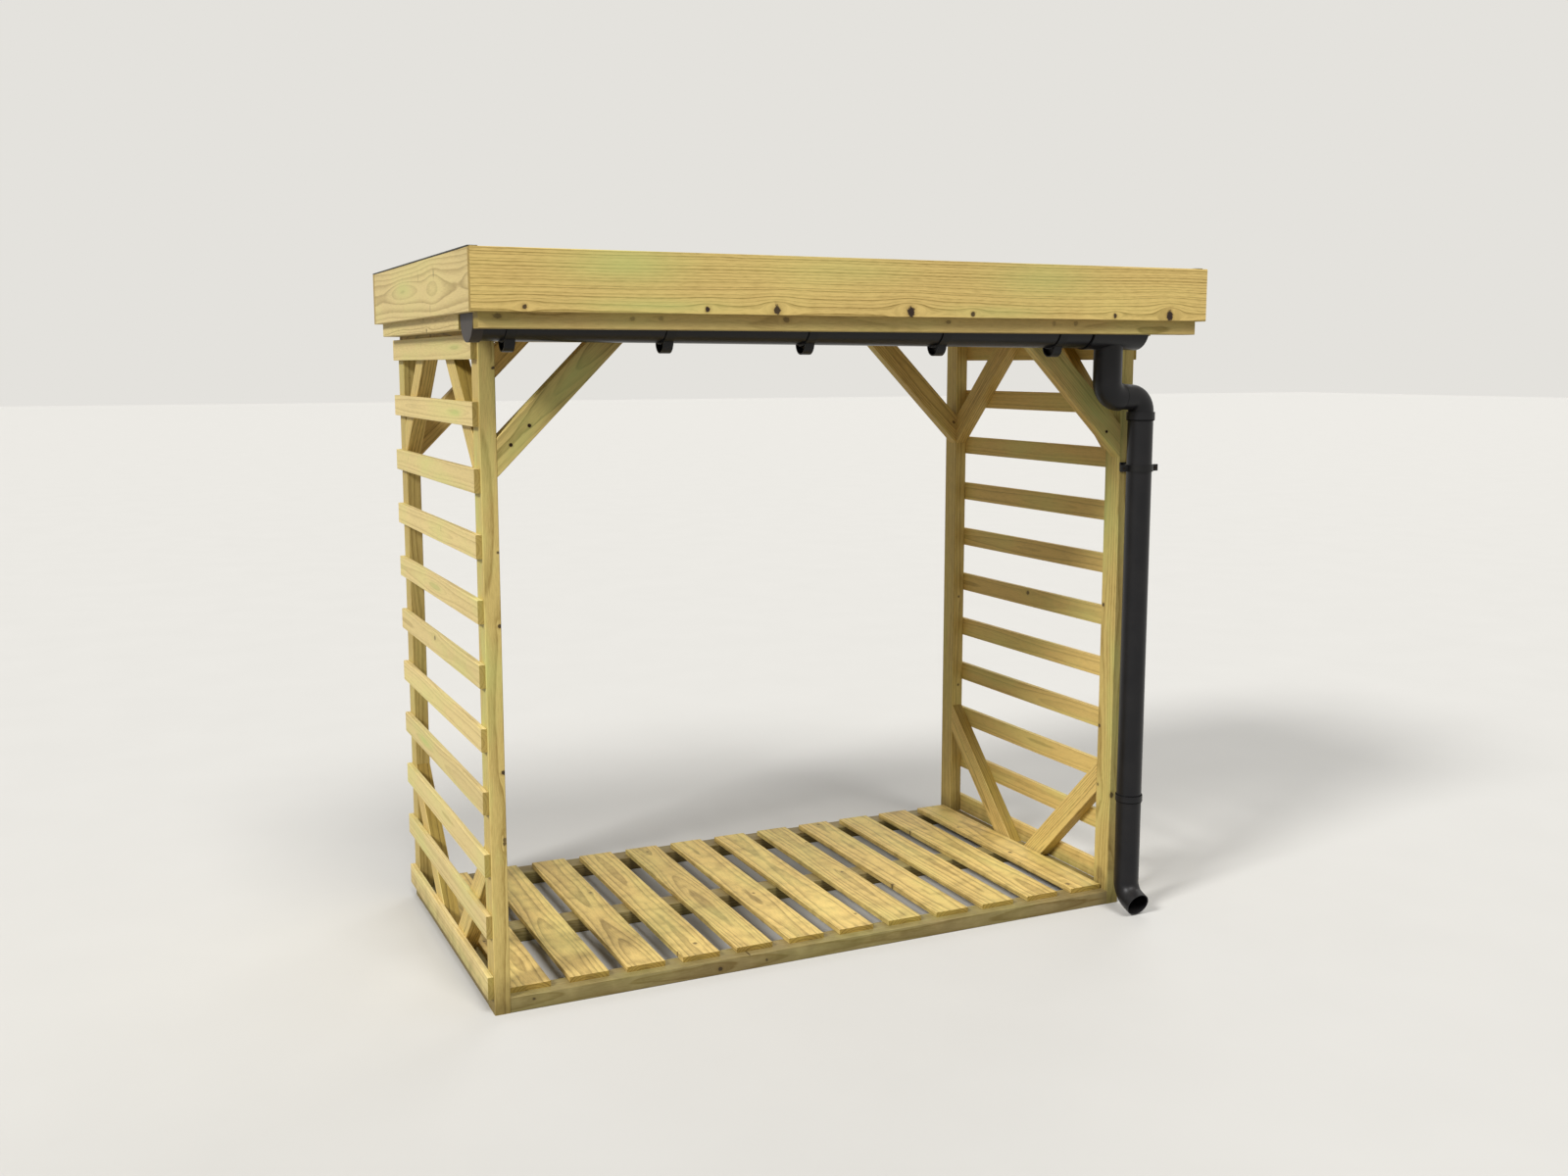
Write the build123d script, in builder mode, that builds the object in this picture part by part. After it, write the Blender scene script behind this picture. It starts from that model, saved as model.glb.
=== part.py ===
from build123d import *
import os
from math import cos, hypot, radians, tan

# Log store with a knee-braced post frame, slatted sides and a flat roof that drains to a hidden gutter.
# Millimetres. +Z is up, +X runs along the front to the right, and -Y is the open front.
# The origin is on the ground, at the middle of the whole outline.

# Squared timber of the frame
stud_thick = 38.0
stud_wide = 63.0
frame_width = 1808.0
frame_depth = 911.0
post_height = 1590.0
arris = 1.5

# Knee braces at 45 degrees: how far they reach from the inside corner, front and back,
# and the gaps that they leave between them in each side frame, under the rail and on the floor rail
brace_reach = 317.0
side_gap_above = 151.0
side_gap_below = 57.0

# Side slats
slat_count = 11
slat_thick = 14.0
slat_height = 55.0
slat_lift = 38.0
slat_proud = 3.0
slat_front_set_back = 8.0
slat_arris = 0.8

# Floor boards, running front to back on three flat rails
floor_board_count = 12
floor_board_wide = 100.0
floor_board_thick = 14.0
floor_front_set_back = 25.0
floor_back_set_back = 25.0
floor_side_gap = 6.0

# Rim joists that stand round the roof
rim_thick = 44.0
rim_height = 95.0
rim_lift = 12.0
eaves_reach = 191.0
side_rim_lead = 12.0

# Fascia boards
fascia_thick = 19.0
fascia_height = 134.0
fascia_lift = 34.0

# Roof joists, firring strips and deck
joist_count = 6
firring_front = 6.0
firring_back = 26.0
deck_thick = 12.0
deck_side_gap = 2.0

# Roof felt
felt_thick = 3.0
drip_reach = 15.0

# Half-round gutter, which falls 1 in so many towards the outlet
gutter_fall = 160.0
gutter_radius = 56.0
gutter_wall = 2.5
gutter_straight = 14.0
gutter_bead = 3.0
gutter_stand_off = 79.0
gutter_clear = 6.0
gutter_lap = 22.0

# Stop end and outlet, which fit over the gutter
fitting_wall = 3.0
fit_gap = 0.3
stop_end_long = 25.0
stop_end_clear = 2.0
outlet_long = 170.0
outlet_lead = 83.0
outlet_collar_drop = 8.0
outlet_spigot_long = 40.0

# Gutter brackets, at these shares of the run from the first to the last
bracket_shares = (0.0, 0.256, 0.505, 0.759, 1.0)
first_bracket_inset = 46.0
last_bracket_gap = 94.0
bracket_wide = 24.0
bracket_strap = 3.0
bracket_lip = 8.0
bracket_plate = 5.0
bracket_plate_rise = 44.0
bracket_rib = 4.0
bracket_foot_drop = 20.0
bracket_foot_radius = 27.0

# Round downpipe
pipe_radius = 34.0
pipe_wall = 2.5
pipe_inset = 23.0
pipe_stand_off = 65.0
socket_wall = 3.5

# Offset of two bends between the outlet and the downpipe
offset_run = 124.0
bend_radius = 40.0
bend_drop = 116.0
bend_fall = 2.5
bend_socket_deep = 45.0
ring_reach = 5.0
lower_socket_long = 20.0
lower_socket_stop = 4.0

# Clip, coupling and shoe
clip_below_bend = 131.0
clip_height = 18.0
clip_band = 3.0
clip_ear_reach = 61.0
clip_ear_thick = 6.0
clip_stem_wide = 16.0
clip_base_thick = 5.0
clip_base_height = 24.0
clip_base_wide = 30.0
coupling_level = 330.0
coupling_height = 16.0
coupling_wall = 2.8
shoe_mouth_height = 35.0
shoe_reach = 55.0
shoe_fall = 20.0
shoe_bend_radius = 50.0

# Places that follow from the sizes
front_reach = eaves_reach + fascia_thick
x_left = -frame_width / 2
x_right = frame_width / 2
y_front = (front_reach - frame_depth) / 2
y_back = y_front + frame_depth
rail_top = stud_thick
beam_top = post_height + stud_wide
joist_top = beam_top + stud_wide
y_back_beam = y_back - stud_wide
roof_back = y_back_beam + stud_thick
rim_bottom = post_height + rim_lift
rim_front = y_front - eaves_reach
rim_back_face = rim_front + rim_thick
fascia_bottom = rim_bottom + fascia_lift
fascia_top = fascia_bottom + fascia_height
x_rim_left = x_left - rim_thick
x_rim_right = x_right + rim_thick
x_roof_left = x_rim_left - fascia_thick
x_roof_right = x_rim_right + fascia_thick

y_gutter = y_front - gutter_stand_off
z_gutter_left = beam_top - gutter_clear - gutter_straight
fitting_radius = gutter_radius + fit_gap + fitting_wall
x_stop_end = x_rim_left + stop_end_clear
x_gutter_left = x_stop_end + fitting_wall + fit_gap
x_pipe = x_right - pipe_inset
y_pipe = y_front - pipe_stand_off
x_outlet = x_pipe - offset_run
x_outlet_left = x_outlet - outlet_lead
x_gutter_right = x_outlet_left + gutter_lap
x_first_bracket = x_left + first_bracket_inset
x_last_bracket = x_outlet_left - last_bracket_gap
z_outlet = z_gutter_left - (x_outlet - x_stop_end) / gutter_fall
z_collar = z_outlet - fitting_radius - outlet_collar_drop + fitting_wall

pipe_bore = pipe_radius - pipe_wall
socket_bore = pipe_radius + fit_gap
socket_radius = socket_bore + socket_wall
offset_length = hypot(x_pipe - x_outlet, y_pipe - y_gutter)
z_upper_bend = z_collar - bend_drop
z_lower_bend = z_upper_bend - offset_length * tan(radians(bend_fall))
bend_setback = bend_radius * tan(radians(90 - bend_fall) / 2)
ring_place = bend_setback + ring_reach
z_lower_arc_end = z_lower_bend - bend_setback
z_lower_end = z_lower_arc_end - lower_socket_long
z_pipe_top = z_lower_arc_end - lower_socket_stop - fit_gap
z_clip = z_lower_end - clip_below_bend

os.makedirs("parts", exist_ok=True)


def save(piece, node):
    """Label a finished piece and write it as its own STEP file."""
    piece.part.label = node
    export_step(piece.part, f"parts/{node}.step")


def block(low, high):
    """A squared length between two corners, drawn on its underside and raised."""
    with BuildSketch(Plane.XY.offset(low[2])) as footprint:
        with Locations(((low[0] + high[0]) / 2, (low[1] + high[1]) / 2)):
            Rectangle(high[0] - low[0], high[1] - low[1])
    extrude(footprint.sketch, amount=high[2] - low[2])


def timber(node, low, high, along):
    """One squared timber with its four long edges eased."""
    with BuildPart() as length:
        block(low, high)
        chamfer(length.edges().filter_by(along), length=arris)
    save(length, node)


# Four posts
for side, x in (("left", x_left), ("right", x_right - stud_thick)):
    for end, y in (("front", y_front), ("back", y_back - stud_wide)):
        timber(
            f"post_{end}_{side}",
            (x, y, 0),
            (x + stud_thick, y + stud_wide, post_height),
            Axis.Z,
        )

# Beams on the post heads, front and back, and the side rails between them
for end, y in (("front", y_front), ("back", y_back_beam)):
    timber(
        f"{end}_top_beam",
        (x_left, y, post_height),
        (x_right, y + stud_thick, beam_top),
        Axis.X,
    )
for side, x in (("left", x_left), ("right", x_right - stud_thick)):
    timber(
        f"{side}_top_rail",
        (x, y_front + stud_thick, post_height),
        (x + stud_thick, y_back_beam, beam_top),
        Axis.Y,
    )

# Flat rails between the post feet, and the bearer under the middle of the floor
y_middle = (y_front + y_back) / 2
for end, y in (("front", y_front), ("back", y_back - stud_wide)):
    timber(
        f"{end}_bottom_rail",
        (x_left + stud_thick, y, 0),
        (x_right - stud_thick, y + stud_wide, rail_top),
        Axis.X,
    )
for side, x in (("left", x_left), ("right", x_right - stud_wide)):
    timber(
        f"{side}_bottom_rail",
        (x, y_front + stud_wide, 0),
        (x + stud_wide, y_back - stud_wide, rail_top),
        Axis.Y,
    )
timber(
    "centre_bearer",
    (x_left + stud_wide, y_middle - stud_wide / 2, 0),
    (x_right - stud_wide, y_middle + stud_wide / 2, rail_top),
    Axis.X,
)

# Floor boards, spread evenly between the posts
floor_left = x_left + stud_thick + floor_side_gap
floor_right = x_right - stud_thick - floor_side_gap
floor_pitch = (floor_right - floor_left - floor_board_wide) / (floor_board_count - 1)
with BuildPart() as floor_boards:
    for board in range(floor_board_count):
        board_left = floor_left + board * floor_pitch
        block(
            (board_left, y_front + floor_front_set_back, rail_top),
            (board_left + floor_board_wide, y_back - floor_back_set_back, rail_top + floor_board_thick),
        )
    chamfer(floor_boards.edges().filter_by(Axis.Y), length=slat_arris)
save(floor_boards, "floor_boards")

# Slats on the outer faces of the posts, spread evenly up each side
slat_pitch = (post_height + slat_proud - slat_height - slat_lift) / (slat_count - 1)
for side, x in (("left", x_left - slat_thick), ("right", x_right)):
    with BuildPart() as slats:
        for row in range(slat_count):
            slat_bottom = slat_lift + row * slat_pitch
            block(
                (x, y_front + slat_front_set_back, slat_bottom),
                (x + slat_thick, y_back, slat_bottom + slat_height),
            )
        chamfer(slats.edges().filter_by(Axis.Y), length=slat_arris)
    save(slats, f"{side}_slats")


def knee_brace(corner, along, up, reach):
    """A 45 degree brace across an inside corner, its ends cut to lie flat on both members.

    The corner is at the middle of the brace's thickness, and along and up follow the members.
    """
    near_edge = reach - stud_wide / cos(radians(45))
    side_face = Plane(origin=corner, x_dir=along, z_dir=Vector(*along).cross(Vector(*up)))
    with BuildSketch(side_face) as outline:
        with BuildLine():
            Polyline((0, reach), (reach, 0), (near_edge, 0), (0, near_edge), close=True)
        make_face()
    extrude(outline.sketch, amount=stud_thick / 2, both=True)


def ease_long_edges(piece, solids):
    """Ease the four longest edges of each brace in the piece."""
    chamfer(piece.edges().sort_by(SortBy.LENGTH)[-4 * solids :], length=arris)


# Braces between the posts and the front and back beams
half_stud = stud_thick / 2
for end, y in (("front", y_front + half_stud), ("back", y_back_beam + half_stud)):
    for side, x, inward in (("left", x_left + stud_thick, 1), ("right", x_right - stud_thick, -1)):
        with BuildPart() as brace:
            knee_brace((x, y, post_height), (inward, 0, 0), (0, 0, -1), brace_reach)
            ease_long_edges(brace, 1)
        save(brace, f"brace_{end}_{side}")

# Braces in each side frame, two under the top rail and two on the bottom rail
side_opening = frame_depth - 2 * stud_wide
reach_above = (side_opening - side_gap_above) / 2
reach_below = (side_opening - side_gap_below) / 2
for side, x in (("left", x_left + half_stud), ("right", x_right - half_stud)):
    with BuildPart() as side_braces:
        for y, inward in ((y_front + stud_wide, 1), (y_back - stud_wide, -1)):
            knee_brace((x, y, post_height), (0, inward, 0), (0, 0, -1), reach_above)
            knee_brace((x, y, rail_top), (0, inward, 0), (0, 0, 1), reach_below)
        ease_long_edges(side_braces, 4)
    save(side_braces, f"{side}_side_braces")

# Rim joists round the front and sides of the roof
rim_top = rim_bottom + rim_height
timber("front_rim_joist", (x_rim_left, rim_front, rim_bottom), (x_rim_right, rim_back_face, rim_top), Axis.X)
for side, x in (("left", x_rim_left), ("right", x_right)):
    timber(
        f"{side}_rim_joist",
        (x, y_front - side_rim_lead, rim_bottom),
        (x + rim_thick, roof_back, rim_top),
        Axis.Y,
    )

# Roof joists on edge across the beams, out to the front rim
joist_pitch = (frame_width - stud_thick) / (joist_count - 1)
joist_places = [x_left + index * joist_pitch for index in range(joist_count)]
with BuildPart() as roof_joists:
    for x in joist_places:
        block((x, rim_back_face, beam_top), (x + stud_thick, roof_back, joist_top))
    chamfer(roof_joists.edges().filter_by(Axis.Y), length=arris)
save(roof_joists, "roof_joists")

# The fall of the roof, as a line over the joists from the gutter to the back
y_deck_front = y_gutter + drip_reach
y_deck_back = roof_back
roof_slope = (firring_back - firring_front) / (y_deck_back - y_deck_front)


def roof_line(y, above):
    """Height of the falling roof at a depth, so far above the firring strips."""
    return joist_top + firring_front + (y - y_deck_front) * roof_slope + above


def side_slab(x, width, *points):
    """A slab across the roof from x, its side profile given as points of depth and height."""
    with BuildSketch(Plane(origin=(x, 0, 0), x_dir=(0, 1, 0), z_dir=(1, 0, 0))) as profile:
        with BuildLine():
            Polyline(*points, close=True)
        make_face()
    extrude(profile.sketch, amount=width)


# Tapered firring strips on the joists
with BuildPart() as firring_strips:
    for x in joist_places:
        side_slab(
            x,
            stud_thick,
            (y_deck_front, joist_top),
            (y_deck_back, joist_top),
            (y_deck_back, roof_line(y_deck_back, 0)),
            (y_deck_front, roof_line(y_deck_front, 0)),
        )
save(firring_strips, "firring_strips")

# Sheet deck on the firrings
with BuildPart() as roof_deck:
    side_slab(
        x_rim_left + deck_side_gap,
        x_rim_right - x_rim_left - 2 * deck_side_gap,
        (y_deck_front, roof_line(y_deck_front, 0)),
        (y_deck_back, roof_line(y_deck_back, 0)),
        (y_deck_back, roof_line(y_deck_back, deck_thick)),
        (y_deck_front, roof_line(y_deck_front, deck_thick)),
    )
save(roof_deck, "roof_deck")

# Felt: a sheet on the deck, turned up against the side and back fascias and lapped over them
skin = deck_thick + felt_thick
lap_top = fascia_top + felt_thick
lap_wide = fascia_thick + felt_thick
y_lap_back = roof_back + fascia_thick
with BuildPart() as roof_felt:
    side_slab(
        x_rim_left,
        x_rim_right - x_rim_left,
        (y_gutter, roof_line(y_gutter, deck_thick)),
        (y_deck_back, roof_line(y_deck_back, deck_thick)),
        (y_deck_back, roof_line(y_deck_back, skin)),
        (y_gutter, roof_line(y_gutter, skin)),
    )
    for x in (x_rim_left, x_rim_right - felt_thick):
        side_slab(
            x,
            felt_thick,
            (y_gutter, roof_line(y_gutter, deck_thick)),
            (y_deck_back, roof_line(y_deck_back, deck_thick)),
            (y_deck_back, fascia_top),
            (y_gutter, fascia_top),
        )
    block(
        (x_rim_left, y_deck_back - felt_thick, roof_line(y_deck_back, deck_thick)),
        (x_rim_right, y_deck_back, fascia_top),
    )
    block((x_roof_left, rim_front, fascia_top), (x_roof_left + lap_wide, y_lap_back, lap_top))
    block((x_roof_right - lap_wide, rim_front, fascia_top), (x_roof_right, y_lap_back, lap_top))
    block((x_roof_left, y_lap_back - lap_wide, fascia_top), (x_roof_right, y_lap_back, lap_top))
save(roof_felt, "roof_felt")

# Fascia boards, the front and back ones covering the ends of the side ones
for end, y in (("front", rim_front - fascia_thick), ("back", roof_back)):
    timber(
        f"fascia_{end}",
        (x_roof_left, y, fascia_bottom),
        (x_roof_right, y + fascia_thick, fascia_top),
        Axis.X,
    )
for side, x in (("left", x_roof_left), ("right", x_rim_right)):
    timber(
        f"fascia_{side}",
        (x, rim_front, fascia_bottom),
        (x + fascia_thick, roof_back, fascia_top),
        Axis.Y,
    )


def gutter_level(x):
    """Height of the middle of the gutter's round at x."""
    return z_gutter_left - (x - x_stop_end) / gutter_fall


def gutter_plane(x):
    """The plane across the falling gutter at x, centred on its round."""
    return Plane(origin=(x, y_gutter, gutter_level(x)), x_dir=(0, 1, 0), z_dir=(1, 0, -1 / gutter_fall))


def channel(x, radius, wall, length):
    """A length of half-round channel with short upright sides, open at the top."""
    bore = radius - wall
    with BuildSketch(gutter_plane(x)) as section:
        with BuildLine():
            Line((-radius, gutter_straight), (-radius, 0))
            ThreePointArc((-radius, 0), (0, -radius), (radius, 0))
            Line((radius, 0), (radius, gutter_straight))
            Line((radius, gutter_straight), (bore, gutter_straight))
            Line((bore, gutter_straight), (bore, 0))
            ThreePointArc((bore, 0), (0, -bore), (-bore, 0))
            Line((-bore, 0), (-bore, gutter_straight))
            Line((-bore, gutter_straight), (-radius, gutter_straight))
        make_face()
    extrude(section.sketch, amount=length)


def channel_fill(x, radius, length, mode=Mode.ADD):
    """The solid shape of a half-round channel, as an end plate or as the hollow of one."""
    with BuildSketch(gutter_plane(x)) as section:
        with BuildLine():
            Line((-radius, gutter_straight), (-radius, 0))
            ThreePointArc((-radius, 0), (0, -radius), (radius, 0))
            Line((radius, 0), (radius, gutter_straight))
            Line((radius, gutter_straight), (-radius, gutter_straight))
        make_face()
    extrude(section.sketch, amount=length, mode=mode)


# Gutter, with a bead along both rims
with BuildPart() as gutter:
    gutter_long = x_gutter_right - x_gutter_left
    channel(x_gutter_left, gutter_radius, gutter_wall, gutter_long)
    with BuildSketch(gutter_plane(x_gutter_left)):
        bead_place = gutter_radius - gutter_bead
        with Locations((-bead_place, gutter_straight - gutter_bead), (bead_place, gutter_straight - gutter_bead)):
            Circle(gutter_bead)
    extrude(amount=gutter_long)
save(gutter, "gutter")

# Stop end on the left end of the gutter
with BuildPart() as gutter_stop_end:
    channel_fill(x_stop_end, fitting_radius, fitting_wall)
    channel(x_stop_end, fitting_radius, fitting_wall, stop_end_long)
save(gutter_stop_end, "gutter_stop_end")

# Outlet: a short channel with its right end closed, a collar and a spigot
with BuildPart() as gutter_outlet:
    channel_fill(x_outlet_left, fitting_radius, outlet_long)
    with BuildSketch(Plane.XY.offset(z_collar)):
        with Locations((x_outlet, y_gutter)):
            Circle(socket_radius)
    extrude(amount=z_outlet - z_collar)
    with BuildSketch(Plane.XY.offset(z_collar - outlet_spigot_long)):
        with Locations((x_outlet, y_gutter)):
            Circle(pipe_radius)
    extrude(amount=outlet_spigot_long)
    channel_fill(x_outlet_left, fitting_radius - fitting_wall, outlet_long - fitting_wall, Mode.SUBTRACT)
    with BuildSketch(Plane.XY.offset(z_collar - outlet_spigot_long)):
        with Locations((x_outlet, y_gutter)):
            Circle(pipe_bore)
    extrude(amount=z_outlet - z_collar + outlet_spigot_long, mode=Mode.SUBTRACT)
save(gutter_outlet, "gutter_outlet")

# Brackets: a plate on the front beam, a strap round the gutter with a lip on each rim,
# a hollow round foot under the strap, and a rib in the middle that joins all three
strap_bore = gutter_radius + fit_gap
strap_radius = strap_bore + bracket_strap
plate_front = gutter_stand_off - bracket_plate
foot_centre = bracket_foot_radius - bracket_foot_drop - strap_radius
lip_bottom = gutter_straight + fit_gap
lip_top = lip_bottom + bracket_strap


def bracket_foot(x):
    """The short tube under the strap, as wide as the bracket."""
    with BuildSketch(gutter_plane(x)) as ring:
        with Locations((0, foot_centre)):
            Circle(bracket_foot_radius)
            Circle(bracket_foot_radius - bracket_strap, mode=Mode.SUBTRACT)
        Circle(strap_bore, mode=Mode.SUBTRACT)
    extrude(ring.sketch, amount=bracket_wide)


def bracket_web(x):
    """The rib that fills the foot and runs back from the strap to the plate."""
    plate_bottom = post_height - gutter_level(x)
    with BuildSketch(gutter_plane(x)) as web:
        with BuildLine():
            Polyline(
                (0, 0),
                (0, foot_centre),
                (bracket_foot_radius, foot_centre),
                (plate_front, plate_bottom),
                (plate_front, 0),
                close=True,
            )
        make_face()
        with Locations((0, foot_centre)):
            Circle(bracket_foot_radius)
        Circle(strap_bore, mode=Mode.SUBTRACT)
    extrude(web.sketch, amount=bracket_rib)


bracket_run = x_last_bracket - x_first_bracket
with BuildPart() as gutter_brackets:
    for share in bracket_shares:
        x = x_first_bracket + share * bracket_run - bracket_wide / 2
        channel(x, strap_radius, bracket_strap, bracket_wide)
        with BuildSketch(gutter_plane(x)):
            for way in (-1, 1):
                with Locations((way * (strap_radius - bracket_strap / 2), (gutter_straight + lip_top) / 2)):
                    Rectangle(bracket_strap, lip_top - gutter_straight)
                with Locations((way * (strap_radius - bracket_lip / 2), (lip_bottom + lip_top) / 2)):
                    Rectangle(bracket_lip, bracket_strap)
        extrude(amount=bracket_wide)
        bracket_foot(x)
        bracket_web(x + (bracket_wide - bracket_rib) / 2)
        block(
            (x, y_front - bracket_plate, post_height),
            (x + bracket_wide, y_front, post_height + bracket_plate_rise),
        )
save(gutter_brackets, "gutter_brackets")

# The two bends lie in the upright plane through the outlet and the downpipe
def falling(along):
    """A point on the sloping run between the bends, so far along from under the outlet."""
    share = along / offset_length
    fall = along * tan(radians(bend_fall))
    return Vector(
        x_outlet + share * (x_pipe - x_outlet),
        y_gutter + share * (y_pipe - y_gutter),
        z_upper_bend - fall,
    )


def round_bar(start, direction, radius, length, mode=Mode.ADD):
    """A straight round bar from a point, or a hole of that shape."""
    with BuildSketch(Plane(origin=start, z_dir=direction)) as section:
        Circle(radius)
    extrude(section.sketch, amount=length, mode=mode)


def bent_bar(start, knee, end, radius, corner_radius, mode=Mode.ADD):
    """A round bar of two straight runs joined by one arc, or a hole of that shape."""
    first_way = (knee - start).normalized()
    second_way = (end - knee).normalized()
    turn = first_way.get_angle(second_way)
    setback = corner_radius * tan(radians(turn) / 2)
    arc_start = knee - first_way * setback
    arc_end = knee + second_way * setback
    hinge = first_way.cross(second_way).normalized()
    hinge_place = arc_start + hinge.cross(first_way) * corner_radius
    round_bar(start, first_way, radius, (arc_start - start).length, mode)
    with BuildSketch(Plane(origin=arc_start, z_dir=first_way)) as section:
        Circle(radius)
    revolve(section.sketch, axis=Axis(hinge_place, hinge), revolution_arc=turn, mode=mode)
    round_bar(arc_end, second_way, radius, (end - arc_end).length, mode)


# Upper bend: a socket under the outlet, and a socket end that takes the lower bend
outlet_mouth = Vector(x_outlet, y_gutter, z_collar)
ring_end = falling(ring_place)
with BuildPart() as upper_bend:
    bent_bar(outlet_mouth, falling(0), ring_end, socket_radius, bend_radius)
    bent_bar(outlet_mouth, falling(0), ring_end, pipe_bore, bend_radius, Mode.SUBTRACT)
    round_bar(outlet_mouth, (0, 0, -1), socket_bore, bend_socket_deep, Mode.SUBTRACT)
    round_bar(ring_end, falling(bend_setback) - ring_end, socket_bore, ring_reach, Mode.SUBTRACT)
save(upper_bend, "upper_bend")

# Lower bend: a plain end in the upper bend, and a socket over the top of the downpipe
plain_end = falling(bend_setback + fit_gap)
socket_mouth = Vector(x_pipe, y_pipe, z_lower_end)
with BuildPart() as lower_bend:
    bent_bar(plain_end, falling(offset_length), socket_mouth, pipe_radius, bend_radius)
    round_bar(socket_mouth, (0, 0, 1), socket_radius, lower_socket_long)
    bent_bar(plain_end, falling(offset_length), socket_mouth, pipe_bore, bend_radius, Mode.SUBTRACT)
    socket_depth = lower_socket_long - lower_socket_stop
    round_bar(socket_mouth, (0, 0, 1), socket_bore, socket_depth, Mode.SUBTRACT)
save(lower_bend, "lower_bend")

# Downpipe, from the lower bend to the coupling
with BuildPart() as downpipe:
    with BuildSketch(Plane.XY.offset(coupling_level)):
        with Locations((x_pipe, y_pipe)):
            Circle(pipe_radius)
            Circle(pipe_bore, mode=Mode.SUBTRACT)
    extrude(amount=z_pipe_top - coupling_level)
save(downpipe, "downpipe")

# Clip round the downpipe: a band with two ears, and a stem to a base on the post
with BuildPart() as pipe_clip:
    with BuildSketch(Plane.XY.offset(z_clip - clip_height / 2)):
        with Locations((x_pipe, y_pipe)):
            Circle(socket_bore + clip_band)
            Rectangle(2 * clip_ear_reach, clip_ear_thick)
        with Locations((x_pipe, (y_pipe + y_front) / 2)):
            Rectangle(clip_stem_wide, pipe_stand_off)
        with Locations((x_pipe, y_pipe)):
            Circle(socket_bore, mode=Mode.SUBTRACT)
    extrude(amount=clip_height)
    block(
        (x_pipe - clip_base_wide / 2, y_front - clip_base_thick, z_clip - clip_base_height / 2),
        (x_pipe + clip_base_wide / 2, y_front, z_clip + clip_base_height / 2),
    )
save(pipe_clip, "pipe_clip")

# Coupling ring over the joint between the downpipe and the shoe
with BuildPart() as pipe_coupling:
    with BuildSketch(Plane.XY.offset(coupling_level - coupling_height / 2)):
        with Locations((x_pipe, y_pipe)):
            Circle(socket_bore + coupling_wall)
            Circle(socket_bore, mode=Mode.SUBTRACT)
    extrude(amount=coupling_height)
save(pipe_coupling, "pipe_coupling")

# Shoe: a straight length and a bend that throws the water forward, just off the ground
shoe_top = Vector(x_pipe, y_pipe, coupling_level)
shoe_mouth = Vector(x_pipe, y_pipe - shoe_reach, shoe_mouth_height)
shoe_knee = Vector(x_pipe, y_pipe, shoe_mouth_height + shoe_reach * tan(radians(shoe_fall)))
with BuildPart() as downpipe_shoe:
    bent_bar(shoe_top, shoe_knee, shoe_mouth, pipe_radius, shoe_bend_radius)
    bent_bar(shoe_top, shoe_knee, shoe_mouth, pipe_bore, shoe_bend_radius, Mode.SUBTRACT)
save(downpipe_shoe, "downpipe_shoe")
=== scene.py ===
"""Log store of pressure-treated softwood, with a felt roof and grey plastic rainwater goods.

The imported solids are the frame. This script gives them their materials, adds the small fixings and seals,
and sets up the stage. Lengths are in metres, +X runs along the front to the right and +Z is up.
"""

import math

import bmesh
import bpy
from bpy.props import FloatProperty, FloatVectorProperty, PointerProperty
from mathutils import Matrix, Vector


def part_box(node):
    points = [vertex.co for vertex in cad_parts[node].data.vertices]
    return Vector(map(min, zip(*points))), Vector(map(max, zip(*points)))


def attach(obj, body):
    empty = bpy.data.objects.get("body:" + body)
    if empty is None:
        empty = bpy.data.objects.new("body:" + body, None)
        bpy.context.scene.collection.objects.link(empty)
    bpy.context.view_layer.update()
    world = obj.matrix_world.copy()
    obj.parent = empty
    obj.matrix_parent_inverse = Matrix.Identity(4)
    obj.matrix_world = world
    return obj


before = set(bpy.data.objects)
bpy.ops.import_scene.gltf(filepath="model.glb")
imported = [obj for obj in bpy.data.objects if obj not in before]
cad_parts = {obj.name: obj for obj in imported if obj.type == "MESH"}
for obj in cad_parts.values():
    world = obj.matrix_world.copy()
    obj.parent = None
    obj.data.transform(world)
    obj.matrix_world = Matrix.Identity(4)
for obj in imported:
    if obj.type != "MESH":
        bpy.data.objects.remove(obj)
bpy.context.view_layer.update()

bl_info = {
    "name": "Log store",
    "version": (1, 0, 0),
    "blender": (4, 5, 0),
    "location": "View3D > Sidebar > Log store",
    "description": "Finishes a slatted log store in treated softwood, felt and grey plastic",
    "category": "Object",
}

MM = 0.001
X_AXIS = Vector((1, 0, 0))
Y_AXIS = Vector((0, 1, 0))
Z_AXIS = Vector((0, 0, 1))
FRONT = Vector((0, -1, 0))
LEFT = Vector((-1, 0, 0))
RIGHT = Vector((1, 0, 0))
ONE_ROW = 100.0  # a pitch so wide that it never repeats

# Where the store's own pieces are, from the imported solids
POST_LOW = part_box("post_front_left")[0]
BACK_POST_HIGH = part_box("post_back_left")[1]
SLATS_LOW, SLATS_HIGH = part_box("left_slats")
SLAT_COUNT = 11
SLAT_HEIGHT = 55 * MM
SLAT_FACE = 7 * MM  # from a slat's middle to its outer face
SLAT_PITCH = (SLATS_HIGH.z - SLATS_LOW.z - SLAT_HEIGHT) / (SLAT_COUNT - 1)
FLOOR_LOW, FLOOR_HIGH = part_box("floor_boards")
FLOOR_COUNT = 12
FLOOR_WIDE = 100 * MM
FLOOR_PITCH = (FLOOR_HIGH.x - FLOOR_LOW.x - FLOOR_WIDE) / (FLOOR_COUNT - 1)
JOIST_LOW, JOIST_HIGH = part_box("roof_joists")
JOIST_COUNT = 6
STUD_THICK = 38 * MM
POST_WIDE = 63 * MM
FASCIA_THICK = 19 * MM
RIM_THICK = 44 * MM
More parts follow.
